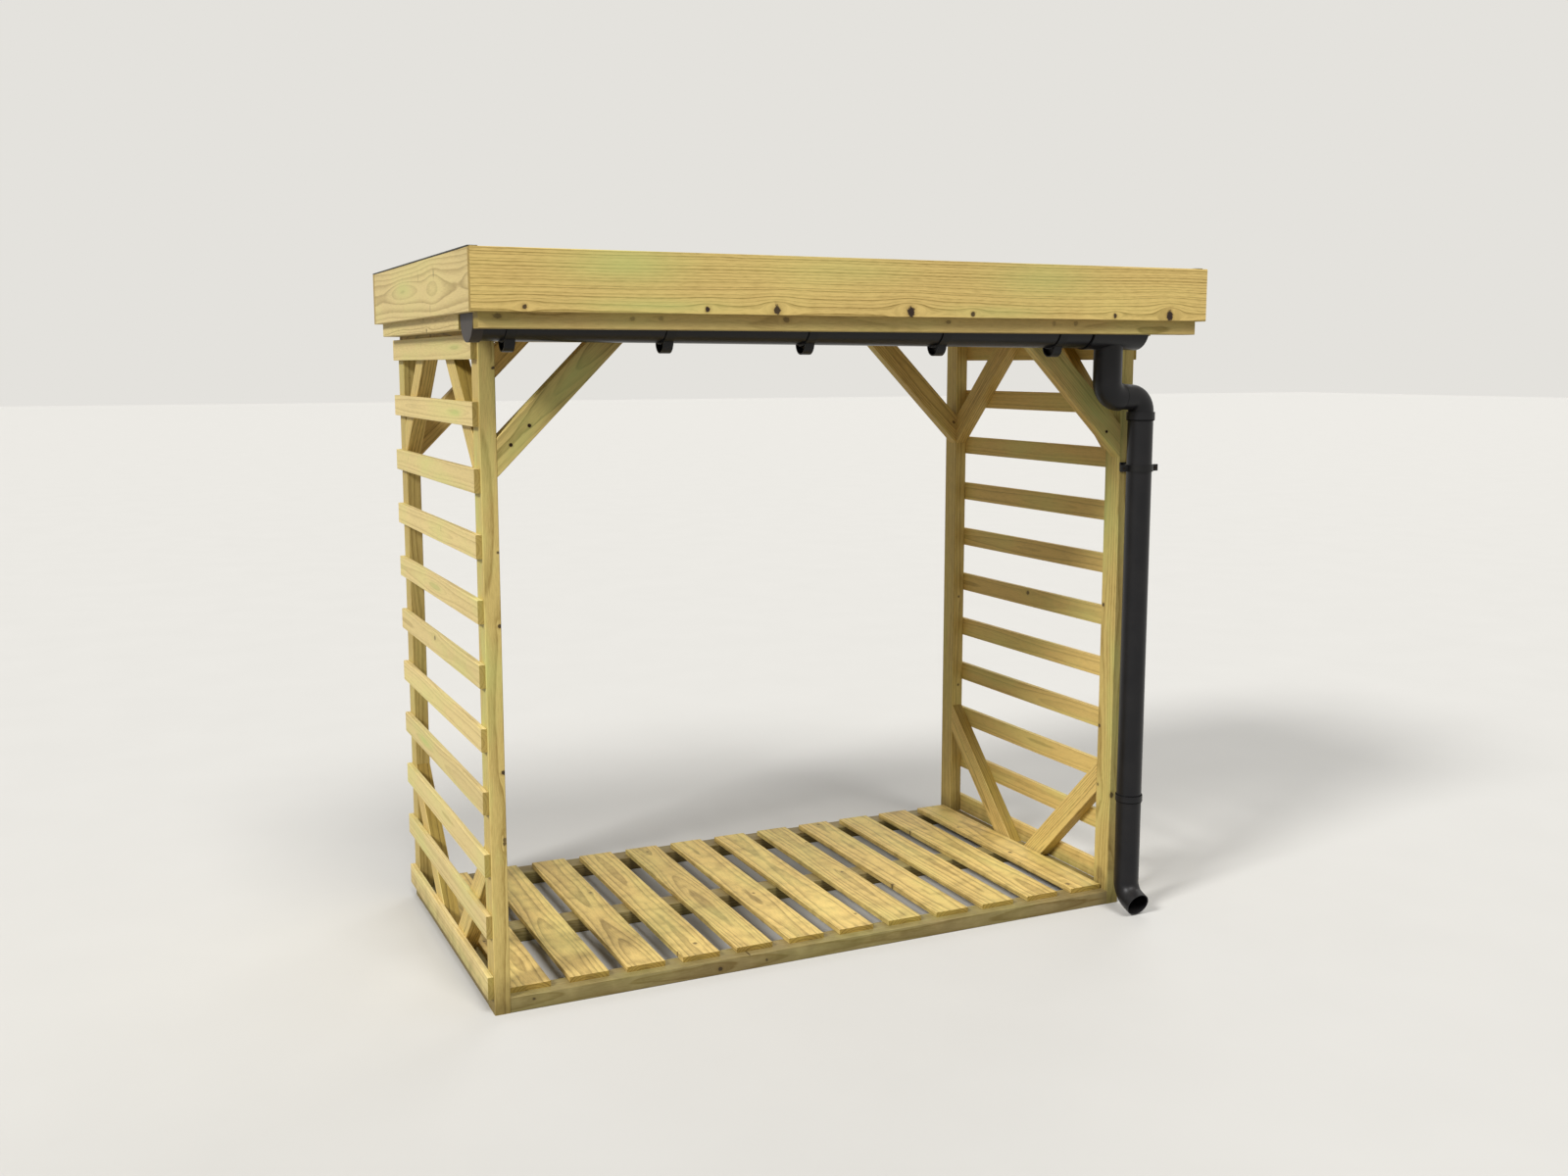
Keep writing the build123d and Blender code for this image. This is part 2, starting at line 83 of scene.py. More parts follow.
JOIST_PITCH = (JOIST_HIGH.x - JOIST_LOW.x - STUD_THICK) / (JOIST_COUNT - 1)

# Rainwater goods, as the solids have them
PIPE_RADIUS = 34 * MM
SOCKET_RADIUS = 37.8 * MM  # outside a bend's socket
GUTTER_RADIUS = 56 * MM
GUTTER_STRAIGHT = 14 * MM  # upright part of the trough's sides
GUTTER_FALL = 1 / 160
BEND_DROP = 116 * MM  # from the upper bend's top to its knee
BEND_SETBACK = 38.3 * MM  # from the knee to the end of the bend's curve
RING_REACH = 5 * MM  # from there to the mouth of its socket
BEND_FALL = math.radians(2.5)  # slope of the pipe between the bends

# Treated softwood
KNOT_COLUMN = 0.30  # metres along a board for each chance of a scattered knot
KNOT_ROW = 1 / 14  # and metres across it
SCATTERED_KNOT = 6.5 * MM  # radius of the largest scattered knot
SMALLEST_KNOT = 0.8 * MM  # a knot under this leaves no mark
CHECK_STRETCH = 0.3  # a mark narrower than this is a drying check, and the grain runs straight past it
FLOW_ALONG = 0.35  # a distance along the board bends the grain as this share of it would across
FLOW_CORE = 1.7  # where the grain is pushed right aside, in squares of the knot's radius
SPECK = 1e-8  # added to that square, because a knot of no size would divide by it
TRUNK_DRIFT = 20 * MM  # how far each board's pith is from the next one's
DARK_BOARD, LIGHT_BOARD = 0.76, 0.88  # tones of the darkest and the lightest board
BLOTCH_TONE = 0.35  # how much a blotch lightens its board
RIM_STAIN = 0.35  # strength of the stain round a knot
WOOD_SHINE = 0.3
POST_RINGS, SLAT_RINGS = 1.4, 1.3  # ring spacing of the posts and slats against the other timber
GREEN_CAST = "#B6BE70"
KNOT_RIM = "#8A6A33"
KNOT_HEART = "#2A1B10"
# Colour laid over sawn ends: partly the treatment they drink, partly painted shade
END_GRAIN_AND_SHADE = "#B5AC74"
DAMP_FOOT = "#7F7860"

# Felt and ply
FELT_SEAM = 0.05  # depth of the lap between the two widths of felt
FELT_LAP_WIDE = 6 * MM
FELT_GRITS = ("#1D1D1C", "#3D3C39")  # dark and pale grains
FELT_DUST = "#5A584F"
FELT_LAP = "#0E0E0E"
SHEET_JOINT = 0.27  # where two sheets of the deck meet
SHEET_GAP = 1.5 * MM  # half the gap between them
PLY_RINGS = 26.0  # veneer lines from the lowest to the highest place of its wavy cut
PLY_SPRING, PLY_SUMMER = "#C9AE79", "#9A7647"
PLY_FIBRE = "#7D5C36"
PLY_GAP = "#2A1D10"

# Plastic, steel and rubber
PLASTIC_SHINE = 0.25
RUBBER_SHINE = 0.1
PIPE_DUST = "#363330"
BRACKET_DUST = "#2A2826"
STOP_END_DUST = "#5C5650"
ZINC = "#9A9A94"
BROWN_COATING = "#2E2218"
BLACK_COATING = "#241C17"
WEATHER_SPOT = "#5B4A36"
SEAL_RUBBER = "#0C0C0D"
SEAL_DUST = "#2B2A29"

# Settings of a Mix node for colours, and of a Map Range that eases in and out
MIX = {"data_type": "RGBA"}
MULTIPLY = {"data_type": "RGBA", "blend_type": "MULTIPLY"}
SMOOTH = {"interpolation_type": "SMOOTHSTEP"}


def linear(colour):
    """An sRGB hex colour as linear red, green, blue and 1."""
    parts = [int(colour[i : i + 2], 16) / 255 for i in (1, 3, 5)]
    return (*(c / 12.92 if c <= 0.04045 else ((c + 0.055) / 1.055) ** 2.4 for c in parts), 1.0)


def add(tree, kind, inputs=None, **settings):
    """Add a shader node with its settings, and give its inputs values or other nodes' outputs.

    Inputs go by name, or by number where a node names them alike or at length: a Math node's are 0 to 2, the
    factor and two colours of a Mix are 0, 6 and 7, with the outcome at 2, and Map Range turns what is between
    its inputs 1 and 2 into what is between 3 and 4.
    """
    node = tree.nodes.new(kind if kind.startswith("Node") else "ShaderNode" + kind)
    for name, value in settings.items():
        setattr(node, name, value)
    for socket, value in (inputs or {}).items():
        if isinstance(value, bpy.types.NodeSocket):
            tree.links.new(value, node.inputs[socket])
        else:
            node.inputs[socket].default_value = value
    return node


def new_group(name, takes, gives):
    """A node group with these sockets, and its input and output nodes."""
    kinds = {"vector": "NodeSocketVector", "value": "NodeSocketFloat"}
    tree = bpy.data.node_groups.new(name, "ShaderNodeTree")
    for label, kind in takes.items():
        tree.interface.new_socket(name=label, in_out="INPUT", socket_type=kinds[kind])
    for label, kind in gives.items():
        tree.interface.new_socket(name=label, in_out="OUTPUT", socket_type=kinds[kind])
    return tree, add(tree, "NodeGroupInput").outputs, add(tree, "NodeGroupOutput").inputs


def new_material(name, rough, shine=0.5):
    """A material with only its shader, its node tree, and the shader."""
    material = bpy.data.materials.new(name)
    material.use_nodes = True
    tree = material.node_tree
    tree.nodes.clear()
    shader = add(tree, "BsdfPrincipled", {"Roughness": rough, "Specular IOR Level": shine})
    add(tree, "OutputMaterial", {"Surface": shader.outputs[0]})
    return material, tree, shader


def middle(node):
    """The middle of a node's box."""
    low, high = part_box(node)
    return (low + high) / 2


def give(node, material):
    """Put a material on every slot of a CAD node."""
    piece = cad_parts[node]
    if not piece.material_slots:
        piece.data.materials.append(material)
    for slot in piece.material_slots:
        slot.material = material


def make_knot_group():
    """One knot: the grain flows round it, and it leaves a dark mark with a stained rim."""
    tree, given, made = new_group(
        "knot",
        {"Where": "vector", "Grain": "vector", "Marks": "value", "Rim": "value", "Place": "vector",
         "Shape": "vector", "Radius": "value", "Dark": "value", "Flow": "value"},
        {"Grain": "vector", "Marks": "value", "Rim": "value"},
    )
    away = add(tree, "VectorMath", {0: given["Where"], 1: given["Place"]}, operation="SUBTRACT").outputs[0]
    shaped = add(tree, "VectorMath", {0: away, 1: given["Shape"]}, operation="MULTIPLY").outputs[0]
    # Along the board the grain closes again more slowly than across it
    along = add(tree, "VectorMath", {0: shaped, 1: (FLOW_ALONG, 1, 0)}, operation="MULTIPLY").outputs[0]
    square = add(tree, "VectorMath", {0: along, 1: along}, operation="DOT_PRODUCT").outputs["Value"]
    core = add(tree, "Math", {0: given["Radius"], 1: given["Radius"]}, operation="MULTIPLY").outputs[0]
    core = add(tree, "Math", {0: core, 1: FLOW_CORE, 2: SPECK}, operation="MULTIPLY_ADD").outputs[0]
    held = add(tree, "Math", {0: square, 1: core}, operation="MAXIMUM").outputs[0]
    share = add(tree, "Math", {0: core, 1: held}, operation="DIVIDE").outputs[0]
    share = add(tree, "Math", {0: share, 1: given["Flow"]}, operation="MULTIPLY").outputs[0]
    across = add(tree, "SeparateXYZ", {0: away}).outputs["Y"]
    moved = add(tree, "Math", {0: across, 1: share}, operation="MULTIPLY").outputs[0]
    moved = add(tree, "CombineXYZ", {"Y": moved}).outputs[0]
    flowing = add(tree, "VectorMath", {0: given["Grain"], 1: moved}, operation="SUBTRACT").outputs[0]
    tree.links.new(flowing, made["Grain"])

    # The mark's edge is ragged, in waves of 6 mm
    ragged = add(tree, "TexNoise", {"Vector": given["Where"], "Scale": 160.0, "Detail": 2.0}).outputs[0]
    ragged = add(tree, "MapRange", {0: ragged, 1: 0.3, 2: 0.7, 3: 0.8, 4: 1.25}).outputs[0]
    reach = add(tree, "VectorMath", {0: shaped}, operation="LENGTH").outputs["Value"]
    reach = add(tree, "Math", {0: reach, 1: ragged}, operation="MULTIPLY").outputs[0]
    ratio = add(tree, "Math", {0: reach, 1: given["Radius"]}, operation="DIVIDE").outputs[0]
    heart = add(tree, "MapRange", {0: ratio, 1: 0.7, 2: 1.1, 3: 1.0, 4: 0.0}, **SMOOTH)
    stain = add(tree, "MapRange", {0: ratio, 1: 0.9, 2: 2.0, 3: 1.0, 4: 0.0}, **SMOOTH)
    there = add(tree, "Math", {0: given["Radius"], 1: SMALLEST_KNOT}, operation="GREATER_THAN").outputs[0]
    there = add(tree, "Math", {0: there, 1: given["Dark"]}, operation="MULTIPLY").outputs[0]
    for mask, socket in ((heart, "Marks"), (stain, "Rim")):
        shown = add(tree, "Math", {0: mask.outputs[0], 1: there}, operation="MULTIPLY").outputs[0]
        most = add(tree, "Math", {0: shown, 1: given[socket]}, operation="MAXIMUM").outputs[0]
        tree.links.new(most, made[socket])


def make_swirl_group():
    """One soft oval hump: a swirl where the saw has cut through a bow in the rings, or a green patch."""
    tree, given, made = new_group(
        "swirl",
        {"Where": "vector", "Rise": "value", "Place": "vector", "Shape": "vector", "Height": "value"},
        {"Rise": "value"},
    )
    away = add(tree, "VectorMath", {0: given["Where"], 1: given["Place"]}, operation="SUBTRACT").outputs[0]
    shaped = add(tree, "VectorMath", {0: away, 1: given["Shape"]}, operation="MULTIPLY").outputs[0]
    square = add(tree, "VectorMath", {0: shaped, 1: shaped}, operation="DOT_PRODUCT").outputs["Value"]
    square = add(tree, "Math", {0: square, 1: -1.0}, operation="MULTIPLY").outputs[0]
    hump = add(tree, "Math", {0: square}, operation="EXPONENT").outputs[0]
    raised = {0: hump, 1: given["Height"], 2: given["Rise"]}
    rise = add(tree, "Math", raised, operation="MULTIPLY_ADD").outputs[0]
    tree.links.new(rise, made["Rise"])


def make_softwood_group():
    """Sawn softwood on grain coordinates: growth rings about a pith, fibre, and soft blotches."""
    tree, given, made = new_group(
        "softwood",
        {"Grain": "vector", "Chance": "vector", "Rise": "value", "Pith": "vector", "Spacing": "value",
         "Bend": "value", "Wave": "value"},
        {"Ring": "value", "Fibre": "value", "Blotch": "value"},
    )
    # Chance slides each board through the trunk, so that no two show the same wood
    slid = add(tree, "VectorMath", {0: given["Chance"], 1: (9, 3, 3), 2: given["Grain"]},
               operation="MULTIPLY_ADD").outputs[0]
    # The trunk isn't straight: slow bends 600 mm long, and small waves of 90 mm
    slow = add(tree, "VectorMath", {0: slid, 1: (1.6, 3.0, 3.0)}, operation="MULTIPLY").outputs[0]
    slow = add(tree, "TexNoise", {"Vector": slow, "Scale": 1.0, "Detail": 1.0}).outputs[0]
    quick = add(tree, "VectorMath", {0: slid, 1: (11.0, 38.0, 38.0)}, operation="MULTIPLY").outputs[0]
    quick = add(tree, "TexNoise", {"Vector": quick, "Scale": 1.0, "Detail": 2.0}).outputs[0]
    pith = add(tree, "VectorMath", {0: given["Chance"], 1: (0, TRUNK_DRIFT, TRUNK_DRIFT), 2: given["Pith"]},
               operation="MULTIPLY_ADD").outputs[0]
    out = add(tree, "VectorMath", {0: given["Grain"], 1: pith}, operation="SUBTRACT").outputs[0]
    out = add(tree, "VectorMath", {0: out, 1: (0, 1, 1)}, operation="MULTIPLY").outputs[0]
    out = add(tree, "VectorMath", {0: out}, operation="LENGTH").outputs["Value"]
    out = add(tree, "Math", {0: slow, 1: given["Bend"], 2: out}, operation="MULTIPLY_ADD").outputs[0]
    out = add(tree, "Math", {0: quick, 1: given["Wave"], 2: out}, operation="MULTIPLY_ADD").outputs[0]
    out = add(tree, "Math", {0: out, 1: given["Rise"]}, operation="ADD").outputs[0]
    rings = add(tree, "Math", {0: out, 1: given["Spacing"]}, operation="DIVIDE").outputs[0]
    # Good and poor years differ in width
    uneven = add(tree, "TexNoise", {"W": rings, "Scale": 0.45, "Detail": 1.0}, noise_dimensions="1D")
    rings = add(tree, "Math", {0: uneven.outputs[0], 1: 1.5, 2: rings}, operation="MULTIPLY_ADD").outputs[0]
    # Each year darkens from spring to summer, and ends at a sharp line
    part = add(tree, "Math", {0: rings}, operation="FRACT").outputs[0]
    rising = add(tree, "Math", {0: part, 1: 3.0}, operation="POWER").outputs[0]
    ending = add(tree, "MapRange", {0: part, 1: 0.88, 2: 1.0, 3: 1.0, 4: 0.0}, **SMOOTH)
    ring = add(tree, "Math", {0: rising, 1: ending.outputs[0]}, operation="MULTIPLY").outputs[0]
    # Some years are darker than others
    year = add(tree, "TexNoise", {"W": rings, "Scale": 0.9, "Detail": 0.0}, noise_dimensions="1D").outputs[0]
    year = add(tree, "MapRange", {0: year, 1: 0.3, 2: 0.7, 3: 0.65, 4: 1.45}).outputs[0]
    ring = add(tree, "Math", {0: ring, 1: year}, operation="MULTIPLY", use_clamp=True).outputs[0]
    tree.links.new(ring, made["Ring"])
    # Fibres about 2 mm across and 30 mm long, drawn coarser than the real ones so that they show
    fine = add(tree, "VectorMath", {0: slid, 1: (34.0, 420.0, 420.0)}, operation="MULTIPLY").outputs[0]
    fine = add(tree, "TexNoise", {"Vector": fine, "Scale": 1.0, "Detail": 3.0, "Roughness": 0.65}).outputs[0]
    tree.links.new(fine, made["Fibre"])
    # Blotches of treatment, some 300 by 90 mm
    wide = add(tree, "VectorMath", {0: slid, 1: (3.2, 11.0, 11.0)}, operation="MULTIPLY").outputs[0]
    wide = add(tree, "TexNoise", {"Vector": wide, "Scale": 1.0, "Detail": 3.0}).outputs[0]
    tree.links.new(wide, made["Blotch"])


def wood_group(name):
    """One of the node groups that all the timber shares, made when it is first asked for."""
    makers = {"knot": make_knot_group, "swirl": make_swirl_group, "softwood": make_softwood_group}
    if name not in bpy.data.node_groups:
        makers[name]()
    return bpy.data.node_groups[name]


def board_places(tree, here, start, along, across, pitch, folded, seed):
    """Places with x along the grain, y across the face and z through the board.

    Gives the places on each board, those on the whole row, and three chance numbers for each board.
    """
    offset = add(tree, "VectorMath", {0: here, 1: start}, operation="SUBTRACT").outputs[0]
    pitch = Vector(pitch or (ONE_ROW, ONE_ROW, ONE_ROW))
    counts = (1 / pitch.x, 1 / pitch.y, 1 / pitch.z)
    halves = (0.5, 0.5, 0.5)
    if folded:
        # Four pieces that mirror each other, one for each sign of y and z
        counts = (0.0, 1 / ONE_ROW, 1 / ONE_ROW)
        halves = (0.0, 0.0, 0.0)
    row = add(tree, "VectorMath", {0: offset, 1: counts, 2: halves}, operation="MULTIPLY_ADD").outputs[0]
    row = add(tree, "VectorMath", {0: row}, operation="FLOOR").outputs[0]
    chance = add(tree, "VectorMath", {0: row, 1: (seed, seed * 1.7, seed * 0.3)}, operation="ADD").outputs[0]
    chance = add(tree, "TexWhiteNoise", {"Vector": chance}, noise_dimensions="3D").outputs["Color"]
    chance = add(tree, "VectorMath", {0: chance, 1: (0.5, 0.5, 0.5)}, operation="SUBTRACT").outputs[0]
    if folded:
        # One metre to the side keeps x out of the fold
        own = add(tree, "VectorMath", {0: offset, 1: X_AXIS}, operation="ADD").outputs[0]
        own = add(tree, "VectorMath", {0: own}, operation="ABSOLUTE").outputs[0]
        own = add(tree, "VectorMath", {0: own, 1: X_AXIS}, operation="SUBTRACT").outputs[0]
    else:
        back = add(tree, "VectorMath", {0: row, 1: pitch}, operation="MULTIPLY").outputs[0]
        own = add(tree, "VectorMath", {0: offset, 1: back}, operation="SUBTRACT").outputs[0]
    turn = Matrix((along, across, along.cross(across))).transposed().to_euler()
    own = add(tree, "Mapping", {"Vector": own, "Rotation": turn}, vector_type="TEXTURE").outputs[0]
    whole = add(tree, "Mapping", {"Vector": offset, "Rotation": turn}, vector_type="TEXTURE").outputs[0]
    return own, whole, chance


def knotted_grain(tree, own, whole, chance, scatter, knots):
    """The grain bent round small knots scattered by chance and round the given ones, and their marks."""
    # Chance slides the scattered knots along and across each board
    spread = add(tree, "VectorMath", {0: chance, 1: (11, 5, 0), 2: own}, operation="MULTIPLY_ADD").outputs[0]
    cells = (1 / KNOT_COLUMN, 1 / KNOT_ROW, 0.0)
    cells = add(tree, "VectorMath", {0: spread, 1: cells}, operation="MULTIPLY").outputs[0]
    cell = add(tree, "TexVoronoi", {"Vector": cells, "Scale": 1.0, "Randomness": 0.9}).outputs
    place = {0: cell["Position"], 1: (KNOT_COLUMN, KNOT_ROW, 0.0)}
    place = add(tree, "VectorMath", place, operation="MULTIPLY").outputs[0]
    size = add(tree, "SeparateXYZ", {0: cell["Color"]}).outputs["X"]
    size = add(tree, "MapRange", {0: size, 1: 1 - scatter, 2: 1.0, 3: 0.0, 4: SCATTERED_KNOT}).outputs[0]
    step = {"Where": spread, "Grain": own, "Place": place, "Radius": size, "Shape": (0.8, 1.0, 0.0),
            "Dark": 0.7, "Flow": 1.0}
    step = add(tree, "Group", node_tree=wood_group("knot"), inputs=step).outputs
    for along, across, through, radius, stretch, dark in knots:
        knot = {
            "Where": whole,
            "Grain": step["Grain"],
            "Marks": step["Marks"],
            "Rim": step["Rim"],
            "Place": (along, across, through),
            "Shape": (1 / stretch, 1, 1),
            "Radius": radius,
            "Dark": dark,
            "Flow": float(stretch > CHECK_STRETCH),
        }
        step = add(tree, "Group", node_tree=wood_group("knot"), inputs=knot).outputs
    return step


def humps(tree, whole, ovals):
    """The height of soft oval humps, each (along, across, half length, half height, rise)."""
    height = 0.0
    for along, across, half_length, half_height, rise in ovals:
        hump = {"Where": whole, "Rise": height, "Place": (along, across, 0), "Height": rise,
                "Shape": (1 / half_length, 1 / half_height, 0)}
        height = add(tree, "Group", node_tree=wood_group("swirl"), inputs=hump).outputs["Rise"]
    return height


def darker_ends_and_shade(tree, colour, along):
    """Sawn ends drink more of the treatment and are darker; their darker, greener colour is also painted
    shade.
    """
    facing = add(tree, "TexCoord").outputs["Normal"]
    facing = add(tree, "VectorMath", {0: facing, 1: along}, operation="DOT_PRODUCT").outputs["Value"]
    facing = add(tree, "Math", {0: facing}, operation="ABSOLUTE").outputs[0]
    ends = add(tree, "MapRange", {0: facing, 1: 0.8, 2: 0.95, 3: 0.0, 4: 0.8}).outputs[0]
    return add(tree, "Mix", {0: ends, 6: colour, 7: linear(END_GRAIN_AND_SHADE)}, **MULTIPLY).outputs[2]


def damp_foot(tree, colour, here, reach):
    """Rain splash greys the wood up to about this height."""
    height = add(tree, "SeparateXYZ", {0: here}).outputs["Z"]
    # Its upper edge wavers by up to 90 mm, in waves 45 mm long
    stir = add(tree, "TexNoise", {"Vector": here, "Scale": 22.0, "Detail": 3.0}).outputs[0]
    height = add(tree, "Math", {0: stir, 1: -0.09, 2: height}, operation="MULTIPLY_ADD").outputs[0]
    wet = add(tree, "MapRange", {0: height, 1: -0.05, 2: reach, 3: 0.75, 4: 0.0}, **SMOOTH)
    return add(tree, "Mix", {0: wet.outputs[0], 6: colour, 7: linear(DAMP_FOOT)}, **MULTIPLY).outputs[2]


def softwood(name, node, grain, face_way, pith, spacing=6 * MM, *, spring, summer, seed, knots=(), swirls=(),
             greens=(), pitch=None, start=None, folded=False, line=0.85, green=0.3, damp=0.0, scatter=0.5,
             rough=0.62, bend=40 * MM, wave=2.5 * MM, fibre=0.36):
    """Pressure-treated softwood for one node: pale straw with a green cast, brown yearly lines and knots.

    The grain runs along one way of the node, and face_way crosses its wide face. Rows of like boards repeat
    at pitch from the first one's middle, start. A folded node is mirrored about its middle. Places are in
    metres from the middle, along the grain, across the face and through the board: pith is (across, through),
    a knot is (along, across, through, radius, stretch, darkness), a swirl is (along, across, half length,
    half height, ring rise), and a green patch is (along, across, half length, half height, strength).
    Spacing is the width of a year, and bend and wave are how far the rings stray. Spring and summer are the
    colours of the wood and its lines. Line, fibre and green are the strengths of the lines, the fibre and the
    green cast, scatter is the share of places that hold a small knot, and damp is how high splash reaches.
    """
    material, tree, shader = new_material(name, rough, WOOD_SHINE)
    here = add(tree, "TexCoord").outputs["Object"]
    along, across = grain.normalized(), face_way.normalized()
    own, whole, chance = board_places(tree, here, start or middle(node), along, across, pitch, folded, seed)
    knotted = knotted_grain(tree, own, whole, chance, scatter, knots)
    rise = humps(tree, whole, swirls)
    wood = {"Grain": knotted["Grain"], "Chance": chance, "Rise": rise, "Pith": (0, *pith), "Spacing": spacing,
            "Bend": bend, "Wave": wave}
    wood = add(tree, "Group", node_tree=wood_group("softwood"), inputs=wood).outputs
    streaks = {0: wood["Fibre"], 1: 0.42, 2: 0.72, 3: -0.15 * fibre, 4: fibre}
    streaks = add(tree, "MapRange", streaks, clamp=False).outputs[0]
    lines = {0: wood["Ring"], 1: line, 2: streaks}
    lines = add(tree, "Math", lines, operation="MULTIPLY_ADD", use_clamp=True).outputs[0]
    colour = add(tree, "Mix", {0: lines, 6: spring, 7: summer}, **MIX).outputs[2]
    # The treatment leaves a green cast in patches
    patch = add(tree, "MapRange", {0: wood["Blotch"], 1: 0.45, 2: 0.75, 3: 0.0, 4: green}).outputs[0]
    patch = {0: patch, 1: humps(tree, whole, greens)}
    patch = add(tree, "Math", patch, operation="ADD", use_clamp=True).outputs[0]
    colour = add(tree, "Mix", {0: patch, 6: colour, 7: linear(GREEN_CAST)}, **MIX).outputs[2]
    # Each board has its own tone, and it isn't even along the board
    tone = add(tree, "SeparateXYZ", {0: chance}).outputs["Z"]
    tone = add(tree, "MapRange", {0: tone, 1: -0.5, 2: 0.5, 3: DARK_BOARD, 4: LIGHT_BOARD}).outputs[0]
    tone = {0: wood["Blotch"], 1: BLOTCH_TONE, 2: tone}
    tone = add(tree, "Math", tone, operation="MULTIPLY_ADD").outputs[0]
    tone = add(tree, "CombineXYZ", {0: tone, 1: tone, 2: tone}).outputs[0]
    colour = add(tree, "Mix", {0: 1.0, 6: colour, 7: tone}, **MULTIPLY).outputs[2]
    rim = add(tree, "Math", {0: knotted["Rim"], 1: RIM_STAIN}, operation="MULTIPLY").outputs[0]
    colour = add(tree, "Mix", {0: rim, 6: colour, 7: linear(KNOT_RIM)}, **MIX).outputs[2]
    colour = add(tree, "Mix", {0: knotted["Marks"], 6: colour, 7: linear(KNOT_HEART)}, **MIX).outputs[2]
    colour = darker_ends_and_shade(tree, colour, along)
    if damp:
        colour = damp_foot(tree, colour, here, damp)
    tree.links.new(colour, shader.inputs["Base Color"])
    sheen = add(tree, "MapRange", {0: lines, 1: 0.0, 2: 1.0, 3: rough + 0.05, 4: rough - 0.08}).outputs[0]
    tree.links.new(sheen, shader.inputs["Roughness"])
    # Summer wood stands a little proud of the spring wood, and knots sit a little low
    relief = {0: wood["Fibre"], 1: 0.5, 2: wood["Ring"]}
    relief = add(tree, "Math", relief, operation="MULTIPLY_ADD").outputs[0]
    relief = add(tree, "Math", {0: knotted["Marks"], 1: -2.0, 2: relief}, operation="MULTIPLY_ADD").outputs[0]
    bump = add(tree, "Bump", {"Strength": 0.35, "Distance": 0.4 * MM, "Height": relief})
    tree.links.new(bump.outputs[0], shader.inputs["Normal"])
    give(node, material)


def plastic(name, colour, dusty, rough, speckle):
    """Unplasticised PVC, extruded or moulded: even colour, a soft sheen, fine scuffs and a film of dust."""
    material, tree, shader = new_material(name, rough, PLASTIC_SHINE)
    here = add(tree, "TexCoord").outputs["Object"]
    # Clouds of dust some 70 mm across, thickest on what faces up
    clouds = {"Vector": here, "Scale": 14.0, "Detail": 4.0, "Roughness": 0.6}
    clouds = add(tree, "TexNoise", clouds).outputs[0]
    top = add(tree, "TexCoord").outputs["Normal"]
    top = add(tree, "SeparateXYZ", {0: top}).outputs["Z"]
    top = add(tree, "MapRange", {0: top, 1: -0.2, 2: 1.0, 3: 0.08, 4: 0.75}).outputs[0]
    film = add(tree, "MapRange", {0: clouds, 1: 0.35, 2: 0.7, 3: 0.15, 4: 0.8}).outputs[0]
    film = add(tree, "Math", {0: film, 1: top}, operation="MULTIPLY").outputs[0]
    base = add(tree, "Mix", {0: film, 6: colour, 7: linear(dusty)}, **MIX).outputs[2]
    # Scuffs and the moulding's orange peel, 1 to 2 mm across
    peel = add(tree, "TexNoise", {"Vector": here, "Scale": speckle, "Detail": 2.0}).outputs[0]
    dark = add(tree, "MapRange", {0: peel, 1: 0.3, 2: 0.7, 3: 0.88, 4: 1.10}).outputs[0]
    dark = add(tree, "CombineXYZ", {0: dark, 1: dark, 2: dark}).outputs[0]
    base = add(tree, "Mix", {0: 1.0, 6: base, 7: dark}, **MULTIPLY).outputs[2]
    tree.links.new(base, shader.inputs["Base Color"])
    dull = add(tree, "MapRange", {0: film, 1: 0.0, 2: 0.6, 3: rough - 0.05, 4: rough + 0.25}).outputs[0]
    tree.links.new(dull, shader.inputs["Roughness"])
    bump = add(tree, "Bump", {"Strength": 0.12, "Distance": 0.2 * MM, "Height": peel})
    tree.links.new(bump.outputs[0], shader.inputs["Normal"])
    return material


def make_felt():
    """Mineral roofing felt: charcoal grit, one lapped seam along the roof, and stains of pale dust."""
    material, tree, shader = new_material("mineral_roofing_felt", 0.9)
    here = add(tree, "TexCoord").outputs["Object"]
    # Grit 1.4 mm across, and stains of 170 mm
    grit = add(tree, "TexVoronoi", {"Vector": here, "Scale": 700.0}).outputs["Color"]
    grit = add(tree, "SeparateXYZ", {0: grit}).outputs["X"]
    stain = add(tree, "TexNoise", {"Vector": here, "Scale": 6.0, "Detail": 5.0}).outputs[0]
    stain = add(tree, "MapRange", {0: stain, 1: 0.42, 2: 0.7, 3: 0.0, 4: 0.5}).outputs[0]
    base = add(tree, "Mix", {0: grit, 6: linear(FELT_GRITS[0]), 7: linear(FELT_GRITS[1])}, **MIX).outputs[2]
    base = add(tree, "Mix", {0: stain, 6: base, 7: linear(FELT_DUST)}, **MIX).outputs[2]
    depth = add(tree, "SeparateXYZ", {0: here}).outputs["Y"]
    seam = add(tree, "Math", {0: depth, 1: FELT_SEAM}, operation="SUBTRACT").outputs[0]
    seam = add(tree, "Math", {0: seam}, operation="ABSOLUTE").outputs[0]
    seam = add(tree, "MapRange", {0: seam, 1: 0.0, 2: FELT_LAP_WIDE, 3: 1.0, 4: 0.0}).outputs[0]
    base = add(tree, "Mix", {0: seam, 6: base, 7: linear(FELT_LAP)}, **MIX).outputs[2]
    tree.links.new(base, shader.inputs["Base Color"])
    high = add(tree, "Math", {0: seam, 1: -3.0, 2: grit}, operation="MULTIPLY_ADD").outputs[0]
    bump = add(tree, "Bump", {"Strength": 0.5, "Distance": 0.5 * MM, "Height": high})
    tree.links.new(bump.outputs[0], shader.inputs["Normal"])
    return material


